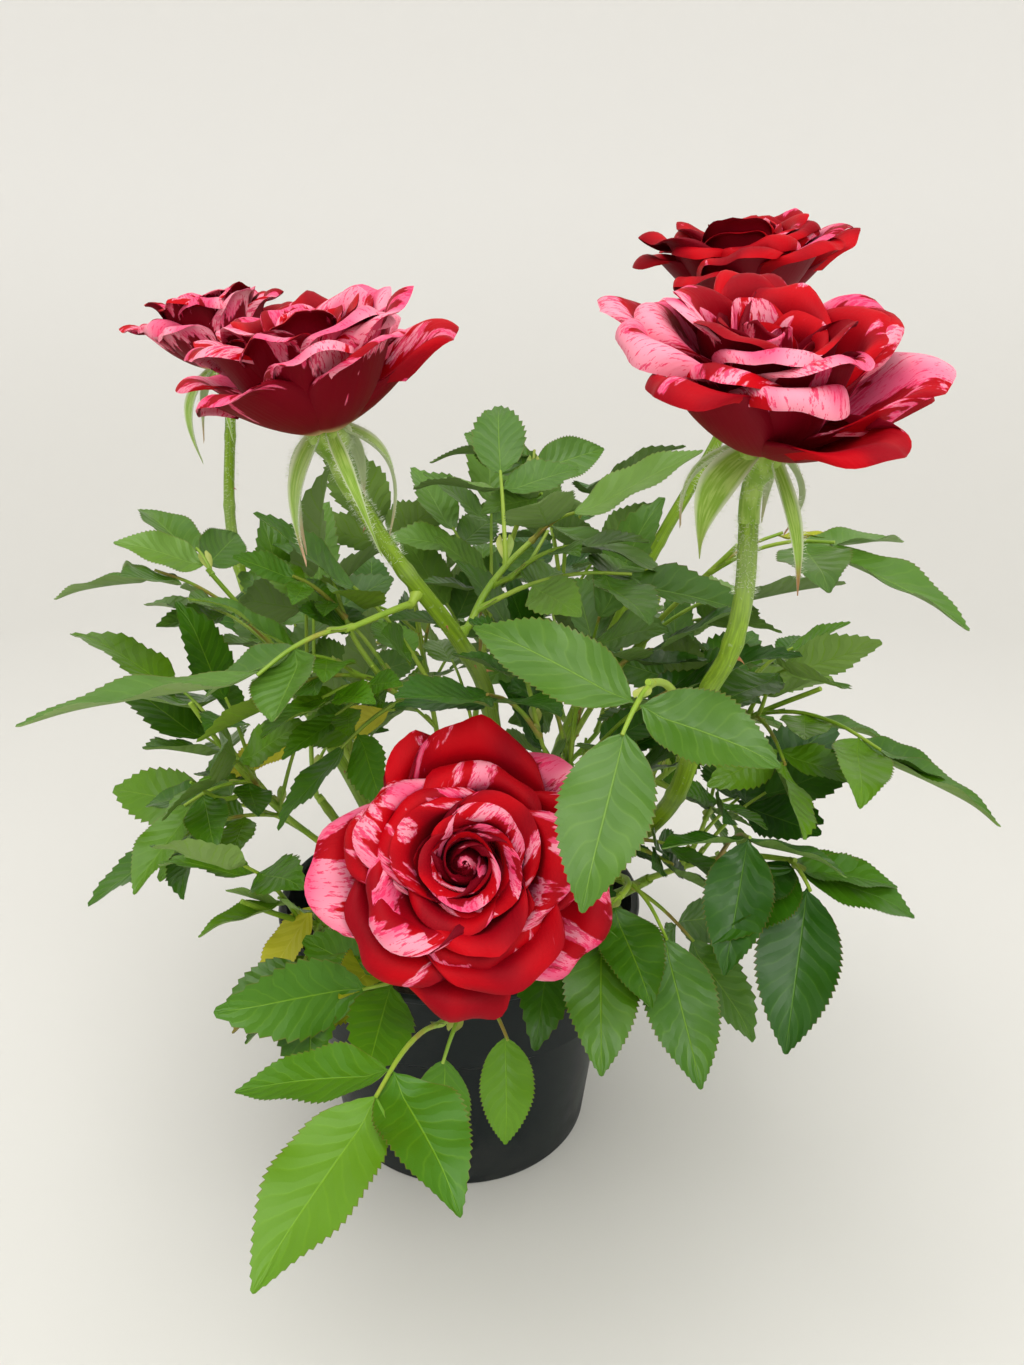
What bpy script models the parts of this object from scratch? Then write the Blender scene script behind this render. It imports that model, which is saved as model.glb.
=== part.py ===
"""Potted patio rose: a black nursery pot of compost, thorny canes, five blooms and sprays of leaves.

Units are metres, +Z is up and the origin is the centre of the pot's flat underside. Every limb is one
tapering tube, every bloom is one solid of petals, hip and sepals, and every foliage mass is one solid
of a stem, leaf stalks and leaflets that a seeded rule lays out clear of its neighbours.
"""
import math

import bmesh
import bpy
import numpy as np

# ---------------------------------------------------------------- driving dimensions
GAP = 0.0003
UP = np.array([0.0, 0.0, 1.0])

POT_BASE_R = 0.0430
POT_BODY_R = 0.0495
POT_BODY_TOP = 0.0520
POT_COLLAR_LOW_R = 0.0562
POT_COLLAR_LOW = 0.0575
POT_RIM_R = 0.0590
POT_HEIGHT = 0.0840
POT_WALL = 0.0014
POT_FLOOR = 0.0020
POT_LIP = 0.0012
POT_SIDES = 36

SOIL_TOP = 0.0720
SOIL_DOME = 0.0015

LIMB_SIDES = 6
LIMB_RING_STEP = 0.016
FOOT_FLARE = 1.45
FOOT_FLARE_HEIGHT = 0.006

TWIG_SIDES = 3
STEM_SIDES = 4
STALK_R = 0.0012
STALK_END_R = 0.0009
STALK_ROOT = 0.0022
KNEE = 0.0025

LEAF_THICKNESS = 0.0008
LEAF_ROOT = 0.0003
END_ROOT = 0.0018
LEAF_FOLD = 0.055
LEAF_DROOP = 0.10
LATERAL_SCALE = 0.84
JOINT_GAP = 0.22
PAIR_STEP = 0.56
WIDTH_RATIO = 0.62

CROWN_CENTRE = np.array([0.010, -0.006, 0.145])
CROWN_RADII = np.array([0.128, 0.132, 0.108])
GOLDEN_TURN = math.radians(137.5)
TRIES = 26
LEAF_CLEAR = 0.0032
LIMB_CLEAR = 0.0022
SAMPLE_ROWS = 8
SAMPLE_COLUMNS = 5
BLOOM_SIGHT = 0.085

PETAL_THICKNESS = 0.0006
HIP_R = 0.0050
HIP_HEIGHT = 0.0090
STUB_R = 0.0021
STUB_LENGTH = 0.0040
SEPAL_LENGTH = 0.026
SEPAL_WIDTH = 0.0062

# Limbs: name, route to the tip from the foot or from the tip of the limb that is named first, radius at
# each end.
FOOT = SOIL_TOP + GAP
LIMBS = (
    ("cane_front", ((0.004, -0.020, FOOT), (0.004, -0.036, 0.100), (0.0055, -0.060, 0.1262),
                    (0.0065, -0.0780, 0.1364)), 0.0028, 0.0023),
    ("cane_right_low", ((0.022, -0.008, FOOT), (0.044, -0.036, 0.114), (0.0575, -0.070, 0.150),
                        (0.0600, -0.0950, 0.1880)), 0.0030, 0.0025),
    ("cane_right_high", ("cane_right_low", (0.0630, -0.1005, 0.1995), (0.0650, -0.1006, 0.2120),
                         (0.0650, -0.0998, 0.2275)), 0.0024, 0.0022),
    ("cane_left", ((-0.002, -0.006, FOOT), (0.012, -0.036, 0.130), (0.0115, -0.049, 0.168),
                   (0.0045, -0.0590, 0.1890), (-0.0095, -0.0687, 0.2120), (-0.0188, -0.0710, 0.2285)),
     0.0030, 0.0022),
    ("cane_back_right", ((0.018, 0.016, FOOT), (0.034, 0.024, 0.125), (0.062, 0.027, 0.190),
                         (0.0840, 0.0290, 0.2320), (0.0885, 0.0300, 0.2530)), 0.0029, 0.0020),
    ("cane_back_left", ((-0.018, 0.014, FOOT), (-0.040, 0.026, 0.115), (-0.068, 0.041, 0.158),
                        (-0.0800, 0.0500, 0.1950), (-0.0770, 0.0500, 0.2370)), 0.0028, 0.0020),
    ("bough_left", ((-0.026, -0.004, FOOT), (-0.032, -0.011, 0.092), (-0.040, -0.020, 0.110)), 0.0024, 0.0017),
    ("bough_left_high", ((-0.012, 0.000, FOOT), (-0.018, -0.002, 0.096), (-0.026, -0.006, 0.118)), 0.0025, 0.0017),
    ("bough_front_left", ((-0.012, -0.026, FOOT), (-0.018, -0.036, 0.086), (-0.026, -0.047, 0.098)),
     0.0022, 0.0016),
    ("bough_front_low", ((0.012, -0.032, FOOT), (0.0115, -0.045, 0.0840), (0.0105, -0.060, 0.0920)),
     0.0022, 0.0016),
    ("bough_right_low", ((0.032, -0.010, FOOT), (0.045, -0.020, 0.090), (0.058, -0.032, 0.106)), 0.0024, 0.0017),
    ("bough_right", ((0.030, 0.006, FOOT), (0.040, 0.004, 0.092), (0.054, -0.001, 0.114)), 0.0025, 0.0017),
    ("bough_right_high", ((0.014, 0.002, FOOT), (0.020, -0.001, 0.096), (0.028, -0.006, 0.122)), 0.0027, 0.0018),
    ("bough_middle", ((0.002, 0.010, FOOT), (0.0025, 0.010, 0.096), (0.004, 0.008, 0.124)), 0.0027, 0.0018),
    ("bough_back", ((-0.004, 0.028, FOOT), (-0.006, 0.037, 0.092), (-0.009, 0.048, 0.112)), 0.0025, 0.0017),
    ("bough_back_right", ((0.014, 0.032, FOOT), (0.024, 0.041, 0.088), (0.036, 0.051, 0.104)), 0.0024, 0.0016),
    ("bough_back_left", ((-0.030, 0.018, FOOT), (-0.040, 0.025, 0.088), (-0.052, 0.033, 0.102)), 0.0024, 0.0016),
)

# Blooms: name, cane, direction of the face, outer radius, how far open (0 to 1), seed.
BLOOMS = (
    ("bloom_front", "cane_front", (0.02, -0.86, 0.50), 0.0345, 1.00, 11),
    ("bloom_right", "cane_right_high", (0.10, -0.36, 0.93), 0.0365, 0.93, 12),
    ("bloom_left", "cane_left", (-0.20, -0.16, 0.97), 0.0350, 0.84, 13),
    ("bloom_back_right", "cane_back_right", (-0.08, -0.16, 0.98), 0.0350, 0.88, 14),
    ("bloom_back_left", "cane_back_left", (-0.16, -0.05, 0.96), 0.0260, 0.70, 15),
)

# Petal rows, from the outside in: count, share of the radius, opening angle from the axis in degrees,
# width to length, height of the petal's root above the hip.
PETAL_ROWS = (
    (5, 1.00, 95.0, 0.84, 0.0000),
    (5, 0.80, 62.0, 0.82, 0.0016),
)
PETAL_OVERLAP = 0.11
PETAL_CUP = 0.16
# The packed heart of a bloom: radius and height above the hip as shares of the bloom's radius.
HEART_PROFILE = ((0.10, -0.03), (0.34, 0.14), (0.50, 0.38), (0.46, 0.56), (0.20, 0.66))
HEART_SIDES = 7

# Sprays: name, host limb, place on the host (1 is its tip), middle and end of the stem, number of
# seeded leaves, span of a leaf, reach from the stem, seed.
SPRAYS = (
    ("spray_front_trio", "cane_right_low", 0.965, (0.0500, -0.1080, 0.1940), (0.0436, -0.1190, 0.1990),
     0, 0.060, 0.080, 21),
    ("spray_left_long", "cane_left", 0.74, (-0.0090, -0.0730, 0.2015), (-0.0200, -0.0830, 0.1990),
     0, 0.060, 0.080, 22),
    ("spray_centre_fan", "cane_left", 0.62, (0.0130, -0.0500, 0.2030), (0.0240, -0.0440, 0.2130),
     3, 0.064, 0.074, 23),
    ("spray_left_inner", "cane_left", 0.42, (-0.0060, -0.0440, 0.1700), (-0.0240, -0.0560, 0.1800),
     4, 0.064, 0.074, 37),
    ("spray_centre_low", "cane_right_low", 0.30, (0.0330, -0.0440, 0.1360), (0.0350, -0.0490, 0.1740),
     8, 0.066, 0.074, 38),
    ("spray_front_low", "bough_front_low", 1.0, (0.0080, -0.0850, 0.1020), (0.0005, -0.1060, 0.1105),
     5, 0.066, 0.074, 24),
    ("spray_front_left", "bough_front_left", 1.0, (-0.0400, -0.0640, 0.1120), (-0.0520, -0.0740, 0.1240),
     8, 0.066, 0.074, 25),
    ("spray_front_right", "cane_right_low", 0.36, (0.0480, -0.0680, 0.1270), (0.0440, -0.0840, 0.1310),
     4, 0.066, 0.074, 26),
    ("spray_left", "bough_left", 1.0, (-0.0560, -0.0360, 0.1380), (-0.0690, -0.0460, 0.1680),
     10, 0.068, 0.078, 27),
    ("spray_left_high", "bough_left_high", 1.0, (-0.0460, -0.0120, 0.1620), (-0.0700, -0.0160, 0.1980),
     11, 0.068, 0.078, 28),
    ("spray_right_low", "bough_right_low", 1.0, (0.0760, -0.0540, 0.1260), (0.0880, -0.0780, 0.1380),
     7, 0.066, 0.076, 29),
    ("spray_right", "bough_right", 1.0, (0.0800, -0.0180, 0.1480), (0.1020, -0.0400, 0.1700),
     10, 0.070, 0.080, 30),
    ("spray_right_high", "bough_right_high", 1.0, (0.0480, -0.0220, 0.1700), (0.0760, -0.0420, 0.2100),
     10, 0.068, 0.080, 31),
    ("spray_middle", "bough_middle", 1.0, (0.0100, 0.0020, 0.1760), (0.0240, -0.0080, 0.2240),
     10, 0.066, 0.080, 32),
    ("spray_back", "bough_back", 1.0, (-0.0160, 0.0620, 0.1500), (-0.0220, 0.0680, 0.1960),
     9, 0.078, 0.090, 33),
    ("spray_back_right", "bough_back_right", 1.0, (0.0600, 0.0620, 0.1320), (0.0740, 0.0660, 0.1760),
     9, 0.078, 0.090, 34),
    ("spray_back_left", "bough_back_left", 1.0, (-0.0580, 0.0520, 0.1180), (-0.0560, 0.0640, 0.1480),
     8, 0.078, 0.090, 35),
    ("spray_heart", "cane_back_right", 0.30, (0.0340, 0.0420, 0.1480), (0.0360, 0.0460, 0.1940),
     9, 0.068, 0.080, 36),
)

# Placed leaves: spray, place on its stem, joint under the end leaflet, its tip, pairs of side leaflets,
# their spread in degrees on either hand, tilt of the face about the leaf's own length in degrees.
PLACED_LEAVES = (
    ("spray_front_trio", 1.00, (0.0380, -0.1275, 0.1915), (0.0290, -0.1500, 0.1690), 1, 96.0, 90.0, -8.0),
    ("spray_left_long", 1.00, (-0.0370, -0.0970, 0.1930), (-0.0820, -0.1130, 0.1905), 1, 62.0, 62.0, 6.0),
    ("spray_centre_fan", 1.00, (0.0330, -0.0510, 0.2200), (0.0660, -0.0580, 0.2370), 1, 60.0, 60.0, -18.0),
    ("spray_left_inner", 1.00, (-0.0340, -0.0640, 0.1870), (-0.0570, -0.0610, 0.2060), 1, 62.0, 62.0, 14.0),
    ("spray_front_low", 1.00, (-0.0090, -0.1420, 0.1215), (-0.0275, -0.1740, 0.1120), 1, 76.0, 44.0, 0.0),
    ("spray_front_low", 0.35, (0.0165, -0.0930, 0.0960), (0.0180, -0.1060, 0.0740), 0, 60.0, 60.0, 0.0),
    ("spray_front_low", 0.70, (0.0010, -0.1040, 0.0980), (-0.0010, -0.1130, 0.0730), 0, 60.0, 60.0, 0.0),
    ("spray_front_left", 0.50, (-0.0440, -0.0680, 0.1215), (-0.0640, -0.0740, 0.1200), 1, 60.0, 60.0, 10.0),
    ("spray_front_left", 0.15, (-0.0330, -0.0780, 0.1040), (-0.0520, -0.0880, 0.0960), 1, 70.0, 70.0, 0.0),
    ("spray_front_right", 1.00, (0.0385, -0.0915, 0.1275), (0.0355, -0.1190, 0.1090), 1, 36.0, 48.0, -6.0),
    ("spray_front_right", 0.62, (0.0540, -0.0960, 0.1270), (0.0590, -0.1220, 0.1080), 0, 54.0, 54.0, 8.0),
    ("spray_left", 0.55, (-0.0720, -0.0510, 0.1400), (-0.0830, -0.0720, 0.1290), 2, 66.0, 66.0, 0.0),
    ("spray_left_high", 0.70, (-0.0830, -0.0220, 0.1990), (-0.1120, -0.0220, 0.1990), 2, 56.0, 56.0, 8.0),
    ("spray_left_high", 1.00, (-0.0740, -0.0110, 0.2030), (-0.0940, 0.0060, 0.2170), 1, 56.0, 56.0, 8.0),
    ("spray_right_low", 0.50, (0.0750, -0.0830, 0.1470), (0.0670, -0.1050, 0.1270), 1, 58.0, 58.0, -6.0),
    ("spray_right_low", 1.00, (0.0900, -0.0860, 0.1340), (0.0810, -0.1110, 0.1080), 2, 62.0, 62.0, 0.0),
    ("spray_right", 0.75, (0.1120, -0.0620, 0.1610), (0.1420, -0.0730, 0.1520), 2, 46.0, 46.0, -10.0),
    ("spray_right_high", 0.90, (0.0960, -0.0580, 0.2140), (0.1270, -0.0740, 0.2040), 1, 58.0, 58.0, 4.0),
    ("spray_middle", 1.00, (0.0240, -0.0030, 0.2300), (-0.0030, 0.0010, 0.2350), 1, 64.0, 64.0, 10.0),
    ("spray_middle", 0.85, (0.0260, -0.0120, 0.2190), (0.0120, -0.0270, 0.2200), 1, 58.0, 58.0, -30.0),
)

# Colours, linear RGB.
POT_COLOUR = (0.012, 0.013, 0.014, 1.0)
SOIL_COLOUR = (0.035, 0.020, 0.012, 1.0)
CANE_COLOUR = (0.13, 0.27, 0.04, 1.0)
LEAF_COLOUR = (0.035, 0.15, 0.025, 1.0)
PETAL_COLOUR = (0.45, 0.008, 0.018, 1.0)


# ---------------------------------------------------------------- vectors and curves
def unit(vector):
    """The vector at length one."""
    vector = np.asarray(vector, float)
    return vector / np.linalg.norm(vector)


def square_to(vector, axis):
    """The part of a vector that is square to an axis, at length one."""
    axis = unit(axis)
    return unit(vector - axis * np.dot(vector, axis))


def turned(vector, axis, angle):
    """A vector turned about an axis by the right-hand rule."""
    axis = unit(axis)
    along = axis * np.dot(axis, vector)
    return vector * math.cos(angle) + np.cross(axis, vector) * math.sin(angle) + along * (1 - math.cos(angle))


def smooth_path(points, count):
    """Points evenly spread by parameter on a Catmull-Rom curve through the given points."""
    points = np.asarray(points, float)
    padded = np.vstack([2 * points[0] - points[1], points, 2 * points[-1] - points[-2]])
    spans = len(points) - 1
    place = np.linspace(0.0, spans, count)
    index = np.minimum(place.astype(int), spans - 1)
    t = (place - index)[:, None]
    a, b, c, d = (padded[index + k] for k in range(4))
    return 0.5 * (2 * b + (c - a) * t + (2 * a - 5 * b + 4 * c - d) * t**2 + (3 * b - a - 3 * c + d) * t**3)


def length_of(path):
    """Length of a path of points."""
    return float(np.linalg.norm(np.diff(path, axis=0), axis=1).sum())


def path_frames(path):
    """Tangents and turning-free normals along a path."""
    tangents = np.gradient(path, axis=0)
    tangents /= np.linalg.norm(tangents, axis=1)[:, None]
    side = square_to(np.array([1.0, 0.13, 0.07]), tangents[0])
    normals = []
    for tangent in tangents:
        side = square_to(side, tangent)
        normals.append(side)
    return tangents, np.array(normals)


# ---------------------------------------------------------------- meshes
def tube(path, radii, sides):
    """A closed tube along a path: vertices and faces, flat at both ends."""
    tangents, normals = path_frames(path)
    binormals = np.cross(tangents, normals)
    angles = np.arange(sides) * (2 * math.pi / sides)
    rings = (path[:, None] + np.asarray(radii)[:, None, None]
             * (np.cos(angles)[None, :, None] * normals[:, None]
                + np.sin(angles)[None, :, None] * binormals[:, None]))
    faces = []
    for ring in range(len(path) - 1):
        low = ring * sides
        for k in range(sides):
            n = (k + 1) % sides
            faces.append((low + k, low + n, low + sides + n, low + sides + k))
    last = (len(path) - 1) * sides
    faces.append(tuple(range(sides - 1, -1, -1)))
    faces.append(tuple(range(last, last + sides)))
    return rings.reshape(-1, 3), faces


def sheet_solid(grid, thickness):
    """A closed thin solid on a grid of points, its two faces parallel and its rim closed."""
    rows, columns, _ = grid.shape
    normal = np.cross(np.gradient(grid, axis=0), np.gradient(grid, axis=1))
    normal /= np.linalg.norm(normal, axis=2)[..., None]
    under = grid - normal * thickness
    vertices = np.vstack([grid.reshape(-1, 3), under.reshape(-1, 3)])
    offset = rows * columns
    faces = []
    for i in range(rows - 1):
        for j in range(columns - 1):
            a, b = i * columns + j, i * columns + j + 1
            c, d = b + columns, a + columns
            faces.append((a, d, c, b))
            faces.append((offset + a, offset + b, offset + c, offset + d))
    rim = [(0, j) for j in range(columns)]
    rim += [(i, columns - 1) for i in range(1, rows)]
    rim += [(rows - 1, j) for j in range(columns - 2, -1, -1)]
    rim += [(i, 0) for i in range(rows - 2, 0, -1)]
    ring = [i * columns + j for i, j in rim]
    for k, here in enumerate(ring):
        after = ring[(k + 1) % len(ring)]
        faces.append((here, after, offset + after, offset + here))
    return vertices, faces


def leaflet_solid(leaflet):
    """A pointed blade of eight faces, folded along its midrib and drooping to its tip."""
    base, along, face, length, width = leaflet
    across = np.cross(along, face)
    places = ((0.0, 0.0), (0.42, 0.50), (1.0, 0.0), (0.42, -0.50))
    vertices = []
    for share, side in places:
        reach = share * length if share else -LEAF_ROOT
        drop = LEAF_DROOP * length * share**2
        vertices.append(base + along * reach + across * side * width - face * drop)
    for lift in (0.5, -0.5):
        drop = LEAF_FOLD * width * 2 + LEAF_DROOP * length * 0.2
        vertices.append(base + along * 0.44 * length + face * (lift * LEAF_THICKNESS - drop))
    faces = []
    for k in range(4):
        n = (k + 1) % 4
        faces.append((4, k, n))
        faces.append((5, n, k))
    return np.array(vertices), faces


def mesh_object(name, vertices, faces):
    """A mesh object, its normals recalculated to point outwards."""
    mesh = bpy.data.meshes.new(name)
    mesh.from_pydata([tuple(v) for v in vertices], [], faces)
    working = bmesh.new()
    working.from_mesh(mesh)
    bmesh.ops.recalc_face_normals(working, faces=working.faces)
    working.to_mesh(mesh)
    working.free()
    return bpy.data.objects.new(name, mesh)


def material(name, colour, roughness):
    """A plain principled material."""
    made = bpy.data.materials.new(name)
    made.use_nodes = True
    shader = made.node_tree.nodes["Principled BSDF"]
    shader.inputs["Base Color"].default_value = colour
    shader.inputs["Roughness"].default_value = roughness
    made.diffuse_color = colour
    return made


def largest_shell(mesh):
    """Keep only the shell of a mesh that spans the most, so hollows are filled and scraps dropped."""
    working = bmesh.new()
    working.from_mesh(mesh)
    bmesh.ops.triangulate(working, faces=working.faces)
    seen = set()
    shells = []
    for start in working.faces:
        if start in seen:
            continue
        shell, waiting = [], [start]
        seen.add(start)
        while waiting:
            face = waiting.pop()
            shell.append(face)
            for edge in face.edges:
                for other in edge.link_faces:
                    if other not in seen and len(edge.link_faces) == 2:
                        seen.add(other)
                        waiting.append(other)
        middles = np.array([face.calc_center_median() for face in shell])
        shells.append((float(np.ptp(middles, axis=0).sum()), shell))
    shells.sort(key=lambda pair: pair[0])
    spare = [face for _, shell in shells[:-1] for face in shell]
    if spare:
        bmesh.ops.delete(working, geom=spare, context="FACES")
    working.to_mesh(mesh)
    working.free()


def fused(name, solids, finish):
    """One object that is the union of several closed solids."""
    pieces = bpy.data.collections.new(name + "_pieces")
    bpy.context.scene.collection.children.link(pieces)
    whole = mesh_object(name, *solids[0])
    bpy.context.scene.collection.objects.link(whole)
    for index, (vertices, faces) in enumerate(solids[1:]):
        pieces.objects.link(mesh_object(f"{name}_{index}", vertices, faces))
    union = whole.modifiers.new("join", "BOOLEAN")
    union.operation = "UNION"
    union.operand_type = "COLLECTION"
    union.collection = pieces
    union.solver = "MANIFOLD"
    evaluated = whole.evaluated_get(bpy.context.evaluated_depsgraph_get())
    joined = bpy.data.meshes.new_from_object(evaluated)
    whole.modifiers.clear()
    whole.data = joined
    joined.name = name
    for piece in list(pieces.objects):
        bpy.data.objects.remove(piece)
    bpy.data.collections.remove(pieces)
    largest_shell(joined)
    joined.materials.clear()
    joined.materials.append(finish)
    return whole


# ---------------------------------------------------------------- room for leaves
class Room:
    """The points that limbs, blooms and leaves already fill, each with its owner and its radius."""

    def __init__(self):
        self.points = np.zeros((0, 3))
        self.radii = np.zeros(0)
        self.owners = np.zeros(0, int)
        self.fronts = []

    def fill(self, points, radius, owner):
        """Take up the room at some points."""
        self.points = np.vstack([self.points, points])
        self.radii = np.append(self.radii, np.full(len(points), radius))
        self.owners = np.append(self.owners, np.full(len(points), owner))

    def is_clear(self, points):
        """True where no point comes nearer to a filled one than that one's radius."""
        low, high = points.min(axis=0) - 0.01, points.max(axis=0) + 0.01
        near = np.all((self.points > low) & (self.points < high), axis=1)
        if near.any():
            apart = np.linalg.norm(points[:, None] - self.points[near][None], axis=2)
            if (apart < self.radii[near][None]).any():
                return False
        for centre, axis, radius in self.fronts:
            offset = points - centre
            ahead = offset @ axis
            aside = np.linalg.norm(offset - ahead[:, None] * axis, axis=1)
            if ((ahead > 0) & (ahead < BLOOM_SIGHT) & (aside < radius)).any():
                return False
        return True


def in_crown(points):
    """True where every point is inside the crown, above the compost and outside the pot."""
    inside = (((points - CROWN_CENTRE) / CROWN_RADII) ** 2).sum(axis=1) < 1.0
    from_axis = np.hypot(points[:, 0], points[:, 1])
    over_pot = (points[:, 2] > POT_HEIGHT + 0.006) | (from_axis > POT_RIM_R + 0.005)
    return bool((inside & over_pot).all())


def stem_point(stem, place):
    """The point at a share of a stem's length, never so near its end that a stalk would not be sunk in."""
    steps = np.linalg.norm(np.diff(stem, axis=0), axis=1)
    along = np.concatenate([[0.0], np.cumsum(steps)])
    spot = min(place * along[-1], along[-1] - STALK_ROOT)
    return np.array([np.interp(spot, along, stem[:, axis]) for axis in range(3)])


def near_path(points, path, reach):
    """True where every point is within reach of a path."""
    apart = np.linalg.norm(points[:, None] - path[None], axis=2).min(axis=1)
    return bool((apart < reach).all())


# ---------------------------------------------------------------- leaves
def leaflet_samples(leaflet):
    """Points spread over a leaflet's blade."""
    base, along, face, length, width = leaflet
    across = np.cross(along, face)
    share = np.linspace(0.08, 1.0, SAMPLE_ROWS)[:, None, None]
    side = np.linspace(-0.5, 0.5, SAMPLE_COLUMNS)[None, :, None]
    swell = np.sin(math.pi * np.clip(share * 0.94 + 0.03, 0.0, 1.0) ** 0.8)
    return (base + along * share * length + across * side * width * swell
            - face * LEAF_DROOP * length * share**2).reshape(-1, 3)


def compound_leaf(start, joint, tip, pairs, spreads, tilt):
    """Stalk path and leaflets of one leaf.

    The stalk arches from its start to the joint under the end leaflet. Side leaflets stand in pairs
    below the joint, each turned from the stalk by its hand's spread and a little shorter than the end one.
    """
    start, joint, tip = (np.asarray(p, float) for p in (start, joint, tip))
    run = joint - start
    arch = UP * 0.10 * np.linalg.norm(run)
    path = smooth_path((start, (start + joint) / 2 + arch, joint), 4)
    along = unit(tip - joint)
    face = turned(square_to(UP, along), along, tilt)
    end_length = float(np.linalg.norm(tip - joint))
    end_base = joint - unit(path[-1] - path[-2]) * END_ROOT
    leaflets = [(end_base, along, face, end_length + END_ROOT, end_length * WIDTH_RATIO)]
    for rank in range(pairs):
        below = end_length * (JOINT_GAP + PAIR_STEP * rank)
        root = stem_point(path, 1.0 - below / length_of(path))
        index = min(int(np.linalg.norm(path - root, axis=1).argmin()), len(path) - 2)
        stalk = unit(path[index + 1] - path[index])
        level = turned(square_to(UP, stalk), stalk, tilt)
        size = end_length * (LATERAL_SCALE - 0.12 * rank)
        for hand, spread in zip((-1, 1), spreads):
            outward = turned(stalk, level, hand * spread)
            leaflets.append((root, outward, level, size, size * WIDTH_RATIO * 1.04))
    return path, leaflets


def leaf_samples(leaf):
    """Points on all leaflets of a leaf."""
    return np.vstack([leaflet_samples(leaflet) for leaflet in leaf[1]])


def grown_leaf(rng, stem, place, azimuth, span):
    """A leaf that leaves a stem at a place and azimuth, its blade turned to the light."""
    tangents, normals = path_frames(stem)
    start = stem_point(stem, place)
    index = int(np.linalg.norm(stem - start, axis=1).argmin())
    tangent = tangents[index]
    radial = turned(normals[index], tangent, azimuth)
    lean = math.radians(rng.uniform(48, 80) - 34 * place)
    heading = tangent * math.cos(lean) + radial * math.sin(lean)
    outward = unit(start - CROWN_CENTRE)
    heading = unit(heading + outward * 0.35 + UP * rng.uniform(-0.10, 0.22))
    size = span * rng.uniform(0.82, 1.15)
    pairs = int(rng.choice((1, 1, 2, 2, 2)))
    end_length = size * (0.50, 0.45)[pairs - 1]
    joint = start + heading * (size - end_length)
    fall = UP * rng.uniform(0.10, 0.50)
    tip = joint + unit(heading - fall) * end_length
    spread = math.radians(rng.uniform(54, 70))
    tilt = math.radians(rng.uniform(-34, 34))
    return compound_leaf(start, joint, tip, pairs, (spread, spread), tilt)


# ---------------------------------------------------------------- blooms
def petal_grid(radius, opening, width_ratio, root_height, azimuth, rows, columns):
    """Points of one petal in the bloom's own frame, whose axis is +Z.

    Going outwards the petal turns from nearly upright to its opening angle along an arc; going across
    it wraps round the axis, its two edges lift into a cup, and one edge rides over the next petal's.
    """
    v = np.linspace(0.0, 1.0, rows)[:, None]
    u = np.linspace(-1.0, 1.0, columns)[None, :]
    fine = np.linspace(0.0, 1.0, 41)
    upright = math.radians(8)
    angle = upright + (opening - upright) * np.clip(fine * 1.5, 0.0, 1.0) ** 0.85
    run = np.concatenate([[0.0], np.cumsum(np.sin((angle[1:] + angle[:-1]) / 2))]) / 40
    rise = np.concatenate([[0.0], np.cumsum(np.cos((angle[1:] + angle[:-1]) / 2))]) / 40
    length = radius * 1.12
    out = 0.0030 + length * np.interp(v, fine, run)
    high = root_height + length * np.interp(v, fine, rise)
    half_width = 0.5 * length * width_ratio * np.sin(math.pi * (0.12 + 0.73 * v)) ** 0.75
    wrap = azimuth + u * half_width / np.maximum(out, 0.55 * radius * width_ratio)
    lift = PETAL_CUP * length * u**2 * np.sin(math.pi * v * 0.9) + PETAL_OVERLAP * length * u * v
    lift = np.clip(lift, -0.4 * out, 0.4 * out)
    inward = max(math.cos(opening), 0.0)
    x = (out - lift * inward) * np.cos(wrap)
    y = (out - lift * inward) * np.sin(wrap)
    z = high + lift * math.sin(opening)
    return np.stack([x, y, z], axis=2)


def bloom_frame(axis):
    """Matrix whose columns are a bloom's own axes in the world."""
    axis = unit(axis)
    side = square_to(np.array([1.0, 0.0, 0.0]), axis)
    return np.stack([side, np.cross(axis, side), axis], axis=1)


def bloom_seat(route):
    """Where a bloom's stub starts, 0.3 mm past its cane's tip, and the way that the cane points there."""
    line = smooth_path(route, 60)
    heading = unit(line[-1] - line[-2])
    return line[-1] + heading * GAP, heading


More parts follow.
